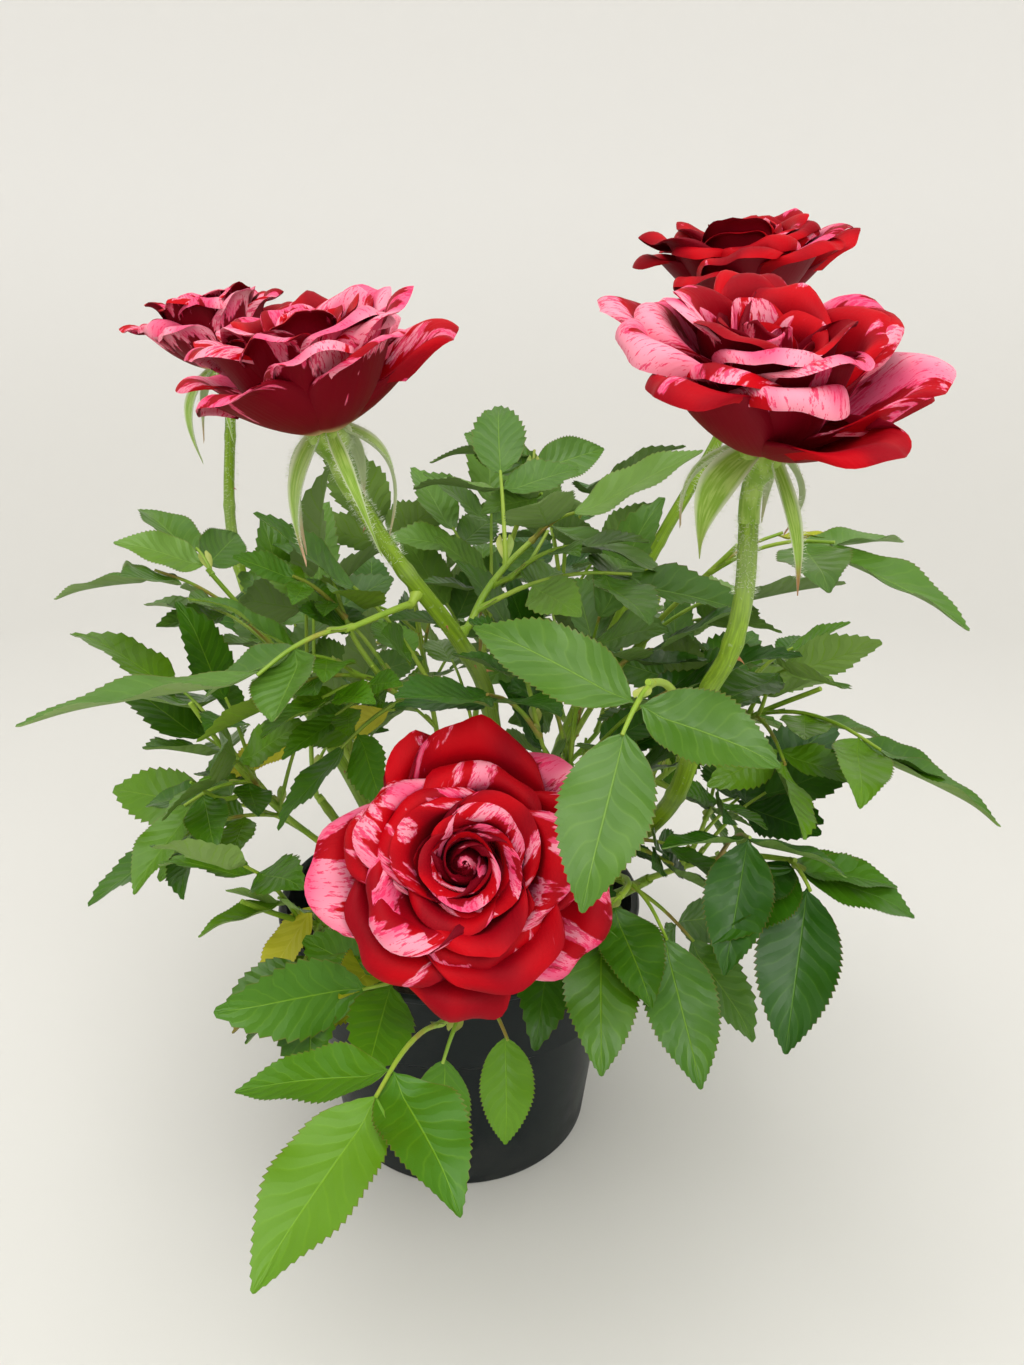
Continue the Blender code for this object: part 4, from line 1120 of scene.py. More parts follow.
# Leaflets turned from where the rule puts them: spray, leaflet of its first leaf, tip, share of the width,
# and degrees that the blade is turned about its own length.
TURNED_LEAFLETS = (
    ("spray_front_trio", 1, (95, -1061, 2111), 1.0, 0.0),
    ("spray_left_long", 0, (-825, -1126, 1950), 0.60, 0.0),
    ("spray_left_long", 1, (-540, -860, 1900), 0.60, 0.0),
    ("spray_left_long", 2, (-330, -1080, 1890), 0.75, 0.0),
    ("spray_centre_fan", 0, (613, -566, 2380), 0.80, 42.0),
    ("spray_centre_fan", 2, (620, -450, 2075), 0.70, 50.0),
)


# ---- room for leaves
class Room:
    """The points that limbs, blooms and leaves already fill, each with its radius."""

    def __init__(self) -> None:
        self.points = np.zeros((0, 3))
        self.radii = np.zeros(0)
        self.fronts: list[tuple[Array, Array, float]] = []

    def fill(self, points: Array, radius: float) -> None:
        """Take up the room at some points."""
        self.points = np.vstack([self.points, points])
        self.radii = np.append(self.radii, np.full(len(points), radius))

    def is_clear(self, points: Array, ease: float) -> bool:
        """Whether points keep clear of what is there.

        Args:
            points: the points to test.
            ease: share of each filled point's radius that has to stay free.

        Returns:
            True where no point is too near a filled one or in front of a bloom's face.
        """
        low, high = points.min(axis=0) - LOOK_ROUND, points.max(axis=0) + LOOK_ROUND
        near = np.all((self.points > low) & (self.points < high), axis=1)
        if near.any():
            apart = np.linalg.norm(points[:, None] - self.points[near][None], axis=2)
            if (apart < ease * self.radii[near][None]).any():
                return False
        for centre, axis, radius in self.fronts:
            offset = points - centre
            ahead = offset @ axis
            aside = np.linalg.norm(offset - ahead[:, None] * axis, axis=1)
            if ((ahead > 0) & (ahead < BLOOM_SIGHT) & (aside < radius)).any():
                return False
        return True


def in_crown(points: Array, share: float) -> bool:
    """Whether points are inside the crown, above the compost and outside the pot.

    Args:
        points: the points to test.
        share: share of the crown's radii.

    Returns:
        True where all of them are.
    """
    inside = (((points - CROWN_CENTRE) / (CROWN_RADII * share)) ** 2).sum(axis=1) < 1.0
    from_axis = np.hypot(points[:, 0], points[:, 1])
    over_pot = (points[:, 2] > POT_HEIGHT + OVER_POT) | (from_axis > POT_RIM_R + BESIDE_POT)
    return bool((inside & over_pot).all())


def near_path(points: Array, path: Array, reach: float) -> bool:
    """True where every point is within reach of a path."""
    apart = np.linalg.norm(points[:, None] - path[None], axis=2).min(axis=1)
    return bool((apart < reach).all())


def stem_point(stem: Array, place: float) -> Array:
    """A point on a stem, never so near its end that a stalk would not be sunk in.

    Args:
        stem: path of the stem.
        place: the share.

    Returns:
        The point.
    """
    along = distance_along(stem)
    spot = min(place * along[-1], along[-1] - STALK_ROOT)
    return np.array([np.interp(spot, along, stem[:, axis]) for axis in range(3)])


# ---- leaves as a plan
@dataclass(frozen=True)
class Leaflet:
    """One blade: its root, the ways it points and faces, its length and its width."""

    base: Array
    along: Array
    face: Array
    length: float
    width: float

    def samples(self) -> Array:
        """Points spread over the blade.

        Returns:
            An array of points.
        """
        across = np.cross(self.along, self.face)
        share = levels(0.08, 1.0, SAMPLE_ROWS, 0)
        side = levels(-0.5, 0.5, SAMPLE_COLUMNS)
        swell = np.sin(math.pi * np.clip(share * 0.94 + 0.03, 0.0, 1.0) ** 0.8)
        return (self.base + self.along * share * self.length + across * side * self.width * swell
                - self.face * LEAF_DROOP * self.length * share**2).reshape(-1, 3)


@dataclass(frozen=True)
class Leaf:
    """A compound leaf: the path of its stalk and its leaflets, the end one first."""

    path: Array
    leaflets: tuple[Leaflet, ...]

    def samples(self) -> Array:
        """Points on all leaflets."""
        return np.vstack([leaflet.samples() for leaflet in self.leaflets])


@dataclass(frozen=True)
class LeafRule:
    """What a seed draws a leaf from, the same as for the solids. Pairs of values are ranges.

    The lean from the stem lessens by the upright share at its end, end shares are for one pair of side
    leaflets and for two, and the rank step is how much shorter each lower pair is. Angles are in degrees.
    """

    lean: tuple[float, float] = (48, 80)
    upright: float = 34
    outward: float = 0.35
    rise: tuple[float, float] = (-0.10, 0.22)
    size: tuple[float, float] = (0.82, 1.15)
    pairs: tuple[int, ...] = (1, 1, 2, 2, 2)
    end_share: tuple[float, float] = (0.50, 0.45)
    fall: tuple[float, float] = (0.10, 0.50)
    spread: tuple[float, float] = (54, 70)
    tilt: float = 34
    arch: float = 0.10
    rank_step: float = 0.12
    side_width: float = 1.04


RULE = LeafRule()


def compound_leaf(start: Point, joint: Point, tip: Point, pairs: int, spreads: tuple[float, float],
                  tilt: float) -> Leaf:
    """Lay out one leaf.

    The stalk arches from its start to the joint under the end leaflet. Side leaflets stand in pairs
    below the joint, each turned from the stalk by its hand's spread and a little shorter than the end one.

    Args:
        start: where the stalk leaves its stem.
        joint: the root of the end leaflet.
        tip: the tip of the end leaflet.
        pairs: pairs of side leaflets.
        spreads: angle of the left and of the right leaflets from the stalk, in radians.
        tilt: turn of the blades about the leaf's own length, in radians.

    Returns:
        The leaf.
    """
    start, joint, tip = (np.asarray(p, float) for p in (start, joint, tip))
    arch = UP * RULE.arch * np.linalg.norm(joint - start)
    path = smooth_path((start, (start + joint) / 2 + arch, joint), 4)
    along = unit(tip - joint)
    face = turned(square_to(UP, along), along, tilt)
    end_length = float(np.linalg.norm(tip - joint))
    end_base = joint - unit(path[-1] - path[-2]) * END_ROOT
    leaflets = [Leaflet(end_base, along, face, end_length + END_ROOT, end_length * WIDTH_RATIO)]
    for rank in range(pairs):
        below = end_length * (JOINT_GAP + PAIR_STEP * rank)
        root = stem_point(path, 1.0 - below / length_of(path))
        index = min(nearest(path, root), len(path) - 2)
        stalk = unit(path[index + 1] - path[index])
        level = turned(square_to(UP, stalk), stalk, tilt)
        size = end_length * (LATERAL_SCALE - RULE.rank_step * rank)
        for hand, spread in zip((-1, 1), spreads):
            outward = turned(stalk, level, hand * spread)
            leaflets.append(Leaflet(root, outward, level, size, size * WIDTH_RATIO * RULE.side_width))
    return Leaf(path, tuple(leaflets))


def grown_leaf(rng: Draws, stem: Array, place: float, azimuth: float, span: float) -> Leaf:
    """A leaf that leaves a stem at a place and azimuth, its blade turned to the light.

    Args:
        rng: the spray's own random numbers.
        stem: path of the stem.
        place: share of the stem's length.
        azimuth: angle round the stem, in radians.
        span: length of a middling leaf.

    Returns:
        The leaf.
    """
    tangents, normals = path_frames(stem)
    start = stem_point(stem, place)
    index = nearest(stem, start)
    radial = turned(normals[index], tangents[index], azimuth)
    lean = math.radians(rng.uniform(*RULE.lean) - RULE.upright * place)
    heading = tangents[index] * math.cos(lean) + radial * math.sin(lean)
    heading = unit(heading + unit(start - CROWN_CENTRE) * RULE.outward
                   + UP * rng.uniform(*RULE.rise))
    size = span * rng.uniform(*RULE.size)
    pairs = int(rng.choice(RULE.pairs))
    end_length = size * RULE.end_share[pairs - 1]
    joint = start + heading * (size - end_length)
    fall = UP * rng.uniform(*RULE.fall)
    tip = joint + unit(heading - fall) * end_length
    spread = math.radians(rng.uniform(*RULE.spread))
    tilt = math.radians(rng.uniform(-RULE.tilt, RULE.tilt))
    return compound_leaf(start, joint, tip, pairs, (spread, spread), tilt)


# ---- blooms as a plan
@dataclass
class BloomPlan:
    """Where one bloom stands and what its seed gives its outer petals and its sepals.

    Attributes:
        start: where its stub starts, just past its cane's tip.
        heading: the way that the cane points there.
        seat: the foot of its hip.
        axes: columns are the bloom's own axes in the world; the last is the way it faces.
        petals: row, azimuth, opening in radians and reach of each outer petal.
        sepals: the five sepals as blades.
        samples: points that fill its room.
    """

    bloom: Bloom
    start: Array
    heading: Array
    seat: Array = field(init=False)
    axes: Array = field(init=False)
    petals: list[tuple[int, float, float, float]] = field(default_factory=list)
    sepals: list[Leaflet] = field(default_factory=list)
    samples: Array = field(init=False)

    def __post_init__(self) -> None:
        """Take the seed's draws in the solids' own order."""
        axis = unit(self.bloom.axis)
        self.axes = own_axes(axis)
        self.seat = self.start + self.heading * STUB_LENGTH + axis * STUB_LENGTH * 0.5
        rng = np.random.default_rng(self.bloom.seed)
        samples = []
        turn = rng.uniform(0, FULL_TURN)
        for rank, (count, share, angle, ratio, root) in enumerate(OUTER_ROWS):
            for k in range(count):
                azimuth = turn + (k + 0.5 * rank + rng.uniform(-0.06, 0.06)) * FULL_TURN / count
                opening = math.radians(angle * self.bloom.openness + rng.uniform(-4, 4))
                reach = self.bloom.radius * share * rng.uniform(0.94, 1.05)
                self.petals.append((rank, azimuth, opening, reach))
                points = outer_petal_points(reach, opening, ratio, root + PETAL_SEAT, azimuth)
                samples.append(self.placed(points))
        for k in range(5):
            azimuth = rng.uniform(-0.2, 0.2) + k * FULL_TURN / 5
            out = np.array([math.cos(azimuth), math.sin(azimuth), 0.0])
            sag = rng.uniform(0.75, 1.15)
            root = self.placed(out * (HIP_R * 0.55) + UP * (HIP_HEIGHT - 0.001))
            along = unit(self.axes @ unit(out * 0.75 - UP * sag) - 0.25 * UP)
            face = square_to(self.axes @ out, along)
            sepal = Leaflet(root, along, face, SEPAL_LENGTH * rng.uniform(0.8, 1.2), SEPAL_WIDTH)
            self.sepals.append(sepal)
            samples.append(sepal.samples())
        self.samples = np.vstack(samples)

    def placed(self, points: Array) -> Array:
        """Points of the bloom's own frame in the world."""
        return self.seat + points @ self.axes.T


def outer_petal_points(radius: float, opening: float, ratio: float, root: float, azimuth: float) -> Array:
    """Points spread over an outer petal, as its solid has it, in the bloom's own frame.

    Going outwards the petal turns from nearly upright to its opening angle along an arc; going across it
    wraps round the axis, its two edges lift into a cup, and one edge rides over the next petal's.

    Args:
        radius: reach of the petal.
        opening: its angle from the axis at the end of the arc, in radians.
        ratio: its width over its length.
        root: height of its root.
        azimuth: where it stands round the axis, in radians.

    Returns:
        An array of points.
    """
    v = levels(0.0, 1.0, 7, 0, 2)
    u = levels(-1.0, 1.0, 5, 1, 2)
    steps = 40
    fine = np.linspace(0.0, 1.0, steps + 1)
    upright = math.radians(8)
    angle = upright + (opening - upright) * np.clip(fine * 1.5, 0.0, 1.0) ** 0.85
    middle = (angle[1:] + angle[:-1]) / 2
    run = np.concatenate([[0.0], np.cumsum(np.sin(middle))]) / steps
    rise = np.concatenate([[0.0], np.cumsum(np.cos(middle))]) / steps
    length = radius * 1.12
    out = 0.0030 + length * np.interp(v, fine, run)
    high = root + length * np.interp(v, fine, rise)
    half_width = 0.5 * length * ratio * np.sin(math.pi * (0.12 + 0.73 * v)) ** 0.75
    wrap = azimuth + u * half_width / np.maximum(out, 0.55 * radius * ratio)
    lift = PETAL_CUP * length * u**2 * np.sin(math.pi * v * 0.9) + PETAL_OVERLAP * length * u * v
    lift = np.clip(lift, -0.4 * out, 0.4 * out)
    reach = out - lift * max(math.cos(opening), 0.0)
    return np.stack([reach * np.cos(wrap), reach * np.sin(wrap), high + lift * math.sin(opening)],
                    axis=2).reshape(-1, 3)


# ---- the whole plant as a plan
@dataclass
class Plan:
    """The plant laid out: limbs, blooms, and each spray's stem, leaves, finer twigs and their leaves."""

    limbs: dict[str, Limb] = field(default_factory=dict)
    blooms: dict[str, BloomPlan] = field(default_factory=dict)
    stems: dict[str, Array] = field(default_factory=dict)
    placed: dict[str, list[Leaf]] = field(default_factory=dict)
    grown: dict[str, list[Leaf]] = field(default_factory=dict)
    twigs: dict[str, list[Array]] = field(default_factory=dict)
    finer: dict[str, list[Leaf]] = field(default_factory=dict)
    odd: list[tuple[Tone, Leaf]] = field(default_factory=list)
    room: Room = field(default_factory=Room)

    FINER_EASE = 0.62
    FINER_SPAN = 0.80
    FINER_CROWN = 0.92
    FINER_TRIES = 14
    TWIG_REACH = 0.004
    TWIG_LENGTH = (0.30, 0.52)
    TWIG_LIFT = 0.35

    def route_limbs(self) -> None:
        """Settle each limb's route; one that grows on from another starts just past that one's tip."""
        for name, foot_radius, tip_radius, start, *rest in LIMBS:
            if isinstance(start, str):
                tip, heading = past_tip(limb_path(self.limbs[start].route))
                foot = (tip, tip + heading * KNEE)
            else:
                foot = ((*metres(start), FOOT),)
            self.limbs[name] = Limb(name, (*foot, *metres(rest)), *metres((foot_radius, tip_radius)))

    def spray_stem(self, spray: Spray) -> Array:
        """Path of a spray's stem, from just clear of its host to its end.

        Args:
            spray: the spray.

        Returns:
            The path.
        """
        host = self.limbs[spray.host]
        line = smooth_path(host.route, HOST_POINTS)
        middle = np.asarray(spray.middle, float)
        if spray.place >= 1.0:
            start, heading = past_tip(line)
        else:
            index = int(spray.place * (len(line) - 1))
            tangent = unit(line[index + 1] - line[index])
            radius = host.foot_radius + (host.tip_radius - host.foot_radius) * spray.place
            heading = square_to(middle - line[index], tangent)
            start = line[index] + heading * (radius + GAP)
        knee = start + heading * KNEE
        return np.vstack([start, smooth_path((knee, middle, spray.end), 4)])

    def lay(self, row: PlacedLeaf) -> Leaf:
        """Lay out a leaf with a place of its own, and fill its room.

        Args:
            row: the leaf's place.

        Returns:
            The leaf.
        """
        leaf = compound_leaf(stem_point(self.stems[row.spray], row.place), row.joint, row.tip, row.pairs,
                             (math.radians(row.left), math.radians(row.right)), math.radians(row.tilt))
        self.room.fill(leaf.samples(), LEAF_CLEAR)
        return leaf

    def settle(self, leaf: Leaf, spray: Spray, leaves: list[Leaf], crown: float = 1.0,
               ease: float = 1.0) -> bool:
        """Keep a leaf if there is room for it.

        Args:
            leaf: the leaf to try.
            spray: its spray.
            leaves: where it is kept.
            crown: share of the crown that it has to lie in.
            ease: share of the others' clearance that it has to keep.

        Returns:
            True where it is kept.
        """
        samples = leaf.samples()
        fits = in_crown(samples, crown) and near_path(samples, self.stems[spray.name], spray.reach)
        if not (fits and self.room.is_clear(samples, ease)):
            return False
        leaves.append(leaf)
        self.room.fill(samples, LEAF_CLEAR)
        return True

    def grow(self) -> None:
        """Lay everything out in the solids' own order, then carry each spray on to finer twigs."""
        self.route_limbs()
        for limb in self.limbs.values():
            self.room.fill(smooth_path(limb.route, HOST_POINTS), limb.foot_radius + LIMB_CLEAR)
        for bloom in BLOOMS:
            start, heading = past_tip(smooth_path(self.limbs[bloom.cane].route, HOST_POINTS))
            plan = BloomPlan(bloom, start, heading)
            self.blooms[bloom.name] = plan
            self.room.fill(plan.samples, LEAF_CLEAR)
            axis = plan.axes[:, 2]
            self.room.fronts.append((start + axis * HIP_HEIGHT, axis, bloom.radius))
        for spray in SPRAYS:
            stem = self.stems[spray.name] = self.spray_stem(spray)
            self.placed[spray.name], self.grown[spray.name] = [], []
            self.room.fill(smooth_path(stem[1:], 20)[3:], STEM_SOLID_R + LIMB_CLEAR)
        for row in PLACED_LEAVES:
            self.placed[row.spray].append(self.lay(row))
        for spray in SPRAYS:
            self.grow_spray(spray)
        self.odd = [(row.tone, self.lay(row)) for row in ODD_LEAVES]
        for spray in SPRAYS:
            self.grow_finer(spray)
        for row in TURNED_LEAFLETS:
            self.turn_leaflet(*row)

    def turn_leaflet(self, spray: str, index: int, tip: tuple, share: float, roll: float) -> None:
        """Turn one leaflet of a spray's first leaf.

        Args:
            spray: the spray's name.
            index: which leaflet.
            tip: where its tip goes, in tenths of a millimetre.
            share: its new width as a share of the old.
            roll: turn about its own length, in degrees.
        """
        leaf = self.placed[spray][0]
        leaflets = list(leaf.leaflets)
        old = leaflets[index]
        way = np.array(metres(tip)) - old.base
        face = turned(square_to(old.face, unit(way)), unit(way), math.radians(roll))
        leaflets[index] = Leaflet(old.base, unit(way), face, float(np.linalg.norm(way)), old.width * share)
        self.placed[spray][0] = Leaf(leaf.path, tuple(leaflets))

    def grow_spray(self, spray: Spray) -> None:
        """Grow a spray's own leaves up its stem, each a golden turn on from the last.

        Args:
            spray: the spray to grow.
        """
        rng = np.random.default_rng(spray.seed)
        turn = rng.uniform(0, FULL_TURN)
        for k in range(spray.count):
            for attempt in range(TRIES):
                spot = 0.10 + 0.90 * (k + rng.uniform(0.0, 1.0 + 0.12 * attempt)) / spray.count
                azimuth = turn + k * GOLDEN_TURN + attempt * rng.uniform(0.4, 1.0)
                leaf = grown_leaf(rng, self.stems[spray.name], min(spot, 1.0), azimuth, spray.span)
                if self.settle(leaf, spray, self.grown[spray.name]):
                    break

    def grow_finer(self, spray: Spray) -> None:
        """Carry a spray on: thin side twigs, and smaller leaves on them and on the stem, by the same rule.

        Args:
            spray: the spray to carry on.
        """
        stem = self.stems[spray.name]
        rng = np.random.default_rng(spray.seed + 500)
        leaves = self.finer[spray.name] = []
        turn = rng.uniform(0, FULL_TURN)
        tangents, normals = path_frames(stem)
        twigs = []
        for k in range(spray.twigs):
            place = 0.15 + 0.75 * (k + rng.uniform(0.2, 0.8)) / spray.twigs
            root = stem_point(stem, place)
            index = nearest(stem, root)
            radial = turned(normals[index], tangents[index], turn + (k + 0.5) * GOLDEN_TURN)
            heading = unit(tangents[index] * 0.7 + radial + unit(root - CROWN_CENTRE) * 0.4)
            size = spray.span * rng.uniform(*self.TWIG_LENGTH)
            end = root + unit(heading + UP * self.TWIG_LIFT) * size
            twigs.append(smooth_path((root, root + heading * size * 0.5, end), 6))
        hosts = [stem, *twigs]
        for k in range(1 + 2 * spray.twigs if spray.twigs else 0):
            for attempt in range(self.FINER_TRIES):
                leaf = grown_leaf(rng, hosts[k % len(hosts)], rng.uniform(0.25, 1.0),
                                  turn + k * GOLDEN_TURN + attempt,
                                  spray.span * self.FINER_SPAN * rng.uniform(0.75, 1.1))
                if self.settle(leaf, spray, leaves, self.FINER_CROWN, self.FINER_EASE):
                    break
        self.twigs[spray.name] = [
            twig for twig in twigs
            if any(np.linalg.norm(leaf.path[0] - twig, axis=1).min() < self.TWIG_REACH for leaf in leaves)]


def past_tip(path: Array) -> tuple[Array, Array]:
    """The place just past a path's end, and the way that the path points there."""
    heading = unit(path[-1] - path[-2])
    return path[-1] + heading * GAP, heading


def limb_path(route: tuple) -> Array:
    """Points along a limb as coarse as its solid has them."""
    rough = smooth_path(route, 40)
    return smooth_path(route, max(4, int(round(length_of(rough) / 0.016)) + 1))


# ---- pot and compost
def straight(start: Array, end: tuple[float, float], count: int) -> Array:
    """Evenly spread points of a straight line, its first one left out."""
    return start + levels(0.0, 1.0, count, 0, 2)[1:] * (np.array(end) - start)


def inner_radius(height: Array) -> Array:
    """Radius of the pot's inner wall at a height."""
    heights = (POT_FLOOR, POT_BODY_TOP, POT_COLLAR_LOW + POT_WALL, POT_HEIGHT)
    return np.interp(height, heights, (POT_BASE_R, POT_BODY_R, POT_COLLAR_LOW_R, POT_RIM_R)) - POT_WALL


@dataclass
class Pot:
    """The nursery pot: a tapered body, a wider collar with a rolled lip, foot ring and flat floor."""

    sides: int = 128
    foot_round: float = 0.0012
    lip_half: float = 0.0014
    finish: PotPlastic = PotPlastic()

    def profile(self) -> Array:
        """The wall, outside up and inside down: arcs at foot and lip, a waved shoulder and lines between.

        Returns:
            Radius and height of each ring.
        """
        turn, roll = np.linspace(0, math.pi / 2, 5), np.linspace(-math.pi / 2, math.pi / 2, 9)
        foot = np.stack([POT_BASE_R - self.foot_round + self.foot_round * np.sin(turn),
                         self.foot_round - self.foot_round * np.cos(turn)], axis=1)
        body = straight(foot[-1], (POT_BODY_R, POT_BODY_TOP - 0.0005), 14)
        share = levels(0.0, 1.0, 7, 0, 2)[1:]
        rise = np.array([POT_COLLAR_LOW_R - POT_BODY_R, POT_COLLAR_LOW - POT_BODY_TOP])
        shoulder = body[-1] + rise * np.hstack([share, 0.5 - 0.5 * np.cos(math.pi * share)])
        collar = straight(shoulder[-1], (POT_RIM_R, POT_HEIGHT - 0.0030), 8)
        lip = np.stack([POT_RIM_R + POT_LIP * np.cos(roll),
                        POT_HEIGHT - self.lip_half + self.lip_half * np.sin(roll)], axis=1)
        inside = np.array([POT_HEIGHT - 0.0010, POT_COLLAR_LOW + POT_WALL, POT_BODY_TOP, POT_FLOOR])
        inner = np.stack([inner_radius(inside), inside], axis=1)
        return np.vstack([foot, body, shoulder, collar, lip, inner])

    def build(self) -> None:
        """Turn the wall and dress it."""
        skin = Surface()
        skin.rings(revolved(self.profile(), self.sides)[None])
        skin.piece("pot_shell", self.finish, "pot_plastic", "pot", crease=50.0)


@dataclass
class CompostBed:
    """The compost: a crumbly dome of peat with loose crumbs lying on it."""

    rings: int = 46
    sides: int = 150
    crumbs: int = 420
    crumb_reach: float = 0.052
    under_side: float = 0.045
    seed: int = 5
    finish: Compost = Compost()

    def height(self, x: Array, y: Array) -> Array:
        """Height of the bed: its level, less a fall to the wall, plus ever smaller waves of turned heading.

        Args:
            x: places across.
            y: places along.

        Returns:
            The heights.
        """
        rng = np.random.default_rng(self.seed)
        level = SOIL_TOP - 0.0004 - 0.0016 * (np.hypot(x, y) / 0.056) ** 4
        for octave in range(7):
            number = 90.0 * 1.6**octave
            turn, phase = rng.uniform(0, math.pi), rng.uniform(0, 6)
            wave = np.sin(number * (x * math.cos(turn) + y * math.sin(turn)) + phase)
            wave = wave * np.sin(number * 0.8 * (y * math.cos(turn) - x * math.sin(turn)) + phase * 1.7)
            level = level + 0.0010 * wave / 1.45**octave
        return level

    def build(self) -> None:
        """Lay the bed as rings out to the wall, close it below, and scatter the crumbs."""
        radius = inner_radius(np.array(SOIL_TOP)) - 0.0004
        rings = radius * levels(1.0, 0.012, self.rings, 0, 2)
        x, y = (rings * value for value in circle(self.sides))
        top = np.stack([x, y, self.height(x, y)], axis=-1)
        low = top[:1] * np.array([0.80, 0.80, 0.0]) + UP * self.under_side
        skin = Surface()
        skin.rings(np.vstack([low, top])[None])
        skin.piece("compost_bed", self.finish, "compost", "soil")
        self.scatter()

    def scatter(self) -> None:
        """Crumbs: squashed balls of 4 rings by 6 points whose radius wavers, half sunk in the bed."""
        rng = np.random.default_rng(self.seed + 1)
        reach = self.crumb_reach * np.sqrt(rng.uniform(0.0, 1.0, self.crumbs))
        turn = rng.uniform(0, FULL_TURN, self.crumbs)
        x, y = reach * np.cos(turn), reach * np.sin(turn)
        size = rng.uniform(0.0004, 0.0017, self.crumbs)
        polar = levels(0.25, math.pi - 0.25, 4)
        cosine, sine = circle(6)
        radius = size[:, None, None] * rng.uniform(0.7, 1.3, (self.crumbs, 4, 6))
        local = np.stack([radius * np.sin(polar) * cosine, radius * np.sin(polar) * sine,
                          -0.75 * radius * np.cos(polar)], axis=-1)
        seat = np.stack([x, y, self.height(x, y) + 0.25 * size], axis=1)[:, None, None]
        skin = Surface()
        skin.rings(local + seat)
        skin.piece("compost_crumbs", self.finish, "compost")


# ---- canes, boughs and prickles
@dataclass
class Canes:
    """Every cane and bough as a tube with the bark's relief, and the prickles on the canes."""

    plan: Plan
    sides: int = 18
    step: float = 0.0011
    flare: float = 1.45
    flare_height: float = 0.006
    node_step: float = 0.024
    node_swell: float = 0.13
    node_length: float = 0.0016
    sink: float = 0.0014
    slim: float = 0.88
    prickle_step: float = 0.030
    prickle_radii: tuple[float, ...] = (1.0, 0.62, 0.40, 0.24, 0.12, 0.03)
    finish: CaneSkin = CaneSkin()
    prickle: PlainSkin = PlainSkin("prickle_red", (0.30, 0.10, 0.03), (0.42, 0.22, 0.07), 0.42)

    def line(self, limb: Limb) -> Array:
        """Fine points along a limb, from a little below its start to a little past its tip.

        Args:
            limb: the limb.

        Returns:
            The points.
        """
        count = max(8, int(length_of(smooth_path(limb.route, 40)) / self.step))
        if limb.rooted:
            body = smooth_path(limb.route, count)
        else:
            body = np.vstack([limb.route[0], smooth_path(limb.route[1:], count)])
        below = body[0] - unit(body[1] - body[0]) * self.sink
        above = body[-1] + unit(body[-1] - body[-2]) * self.sink
        return np.vstack([below, body, above])

    def radii(self, limb: Limb, path: Array) -> Array:
        """Radius at each ring and side: a taper, times a flare at the foot, swollen nodes and fibres.

        The flare and each node fall off as bell curves along the cane. The fibres are waves round the
        cane whose phase drifts along it, and they deepen where the bark is old.

        Args:
            limb: the limb.
            path: its fine points.

        Returns:
            An array shaped (rings, sides).
        """
        rng = np.random.default_rng(sum(map(ord, limb.name)))
        along = distance_along(path)
        taper = self.slim * (limb.foot_radius + (limb.tip_radius - limb.foot_radius) * along / along[-1])
        flare = 1 + limb.rooted * (self.flare - 1) * bell(along, self.flare_height)
        nodes = np.arange(rng.uniform(0.3, 0.9) * self.node_step, along[-1] - 0.004, self.node_step)
        nodes = nodes + rng.uniform(-0.003, 0.003, len(nodes))
        swell = 1 + self.node_swell * bell(along[:, None] - nodes, self.node_length).sum(axis=1)
        angle = np.arange(self.sides) * (FULL_TURN / self.sides)
        drift = along[:, None] * 40.0
        old = 0.5 + 1.2 * np.exp(-along[:, None] / 0.03) * limb.rooted
        fibre = 1 + 0.018 * old * (np.sin(5 * angle + drift) + 0.7 * np.sin(8 * angle - 1.7 * drift))
        oval = 1 + 0.03 * np.cos(2 * angle + drift * 0.3)
        return (taper * flare * swell)[:, None] * fibre * oval

    def build(self) -> None:
        """Make one piece for every limb, and one of all prickles."""
        thorns = Surface()
        for limb in self.plan.limbs.values():
            path = self.line(limb)
            _, normals = path_frames(path)
            skin = Surface()
            skin.tubes(path[None], normals[None], self.radii(limb, path)[None], self.sides)
            skin.piece(limb.name + "_bark", self.finish, "cane_bark", limb.name)
            if limb.name.startswith("cane"):
                self.grow_prickles(thorns, limb, path, normals)
        thorns.piece("cane_prickles", self.prickle, "cane_bark")

    def grow_prickles(self, skin: Surface, limb: Limb, path: Array, normals: Array) -> None:
        """Prickles: broad-footed cones bent down the cane, their bend growing with the square of the reach.

        Args:
            skin: where they are gathered.
            limb: the cane.
            path: its fine points.
            normals: their normals.
        """
        rng = np.random.default_rng(sum(map(ord, limb.name)) + 3)
        count = max(2, int(length_of(path) / self.prickle_step))
        index = rng.integers(len(path) // 6, len(path) - 6, count)
        tangents, side = headings(path)[index], normals[index]
        turn = rng.uniform(0, FULL_TURN, count)[:, None]
        out = np.cos(turn) * side + np.sin(turn) * np.cross(tangents, side)
        size = rng.uniform(0.0012, 0.0022, count)[:, None, None]
        share = levels(0.0, 1.0, len(self.prickle_radii))
        root = (path[index] + out * limb.tip_radius * 0.8)[:, None]
        cones = root + size * (share * out[:, None] - 0.45 * share**2 * tangents[:, None])
        heading = headings(cones)
        across = lengths_one(np.cross(heading, np.broadcast_to((out + tangents)[:, None], heading.shape)))
        skin.tubes(cones, across, 0.36 * size[..., 0] * np.array(self.prickle_radii), 7)


# ---- stalks and leaves
def gathered(blades: list[Leaflet], *keys: str) -> list[Array]:
    """Values of many blades as arrays whose second and third axes are left for rows and columns."""
    return [np.array([getattr(blade, key) for blade in blades])[:, None, None] for key in keys]


def leaflets_of(leaves: list[Leaf]) -> list[Leaflet]:
    """The leaflets of many leaves."""
    return [leaflet for leaf in leaves for leaflet in leaf.leaflets]


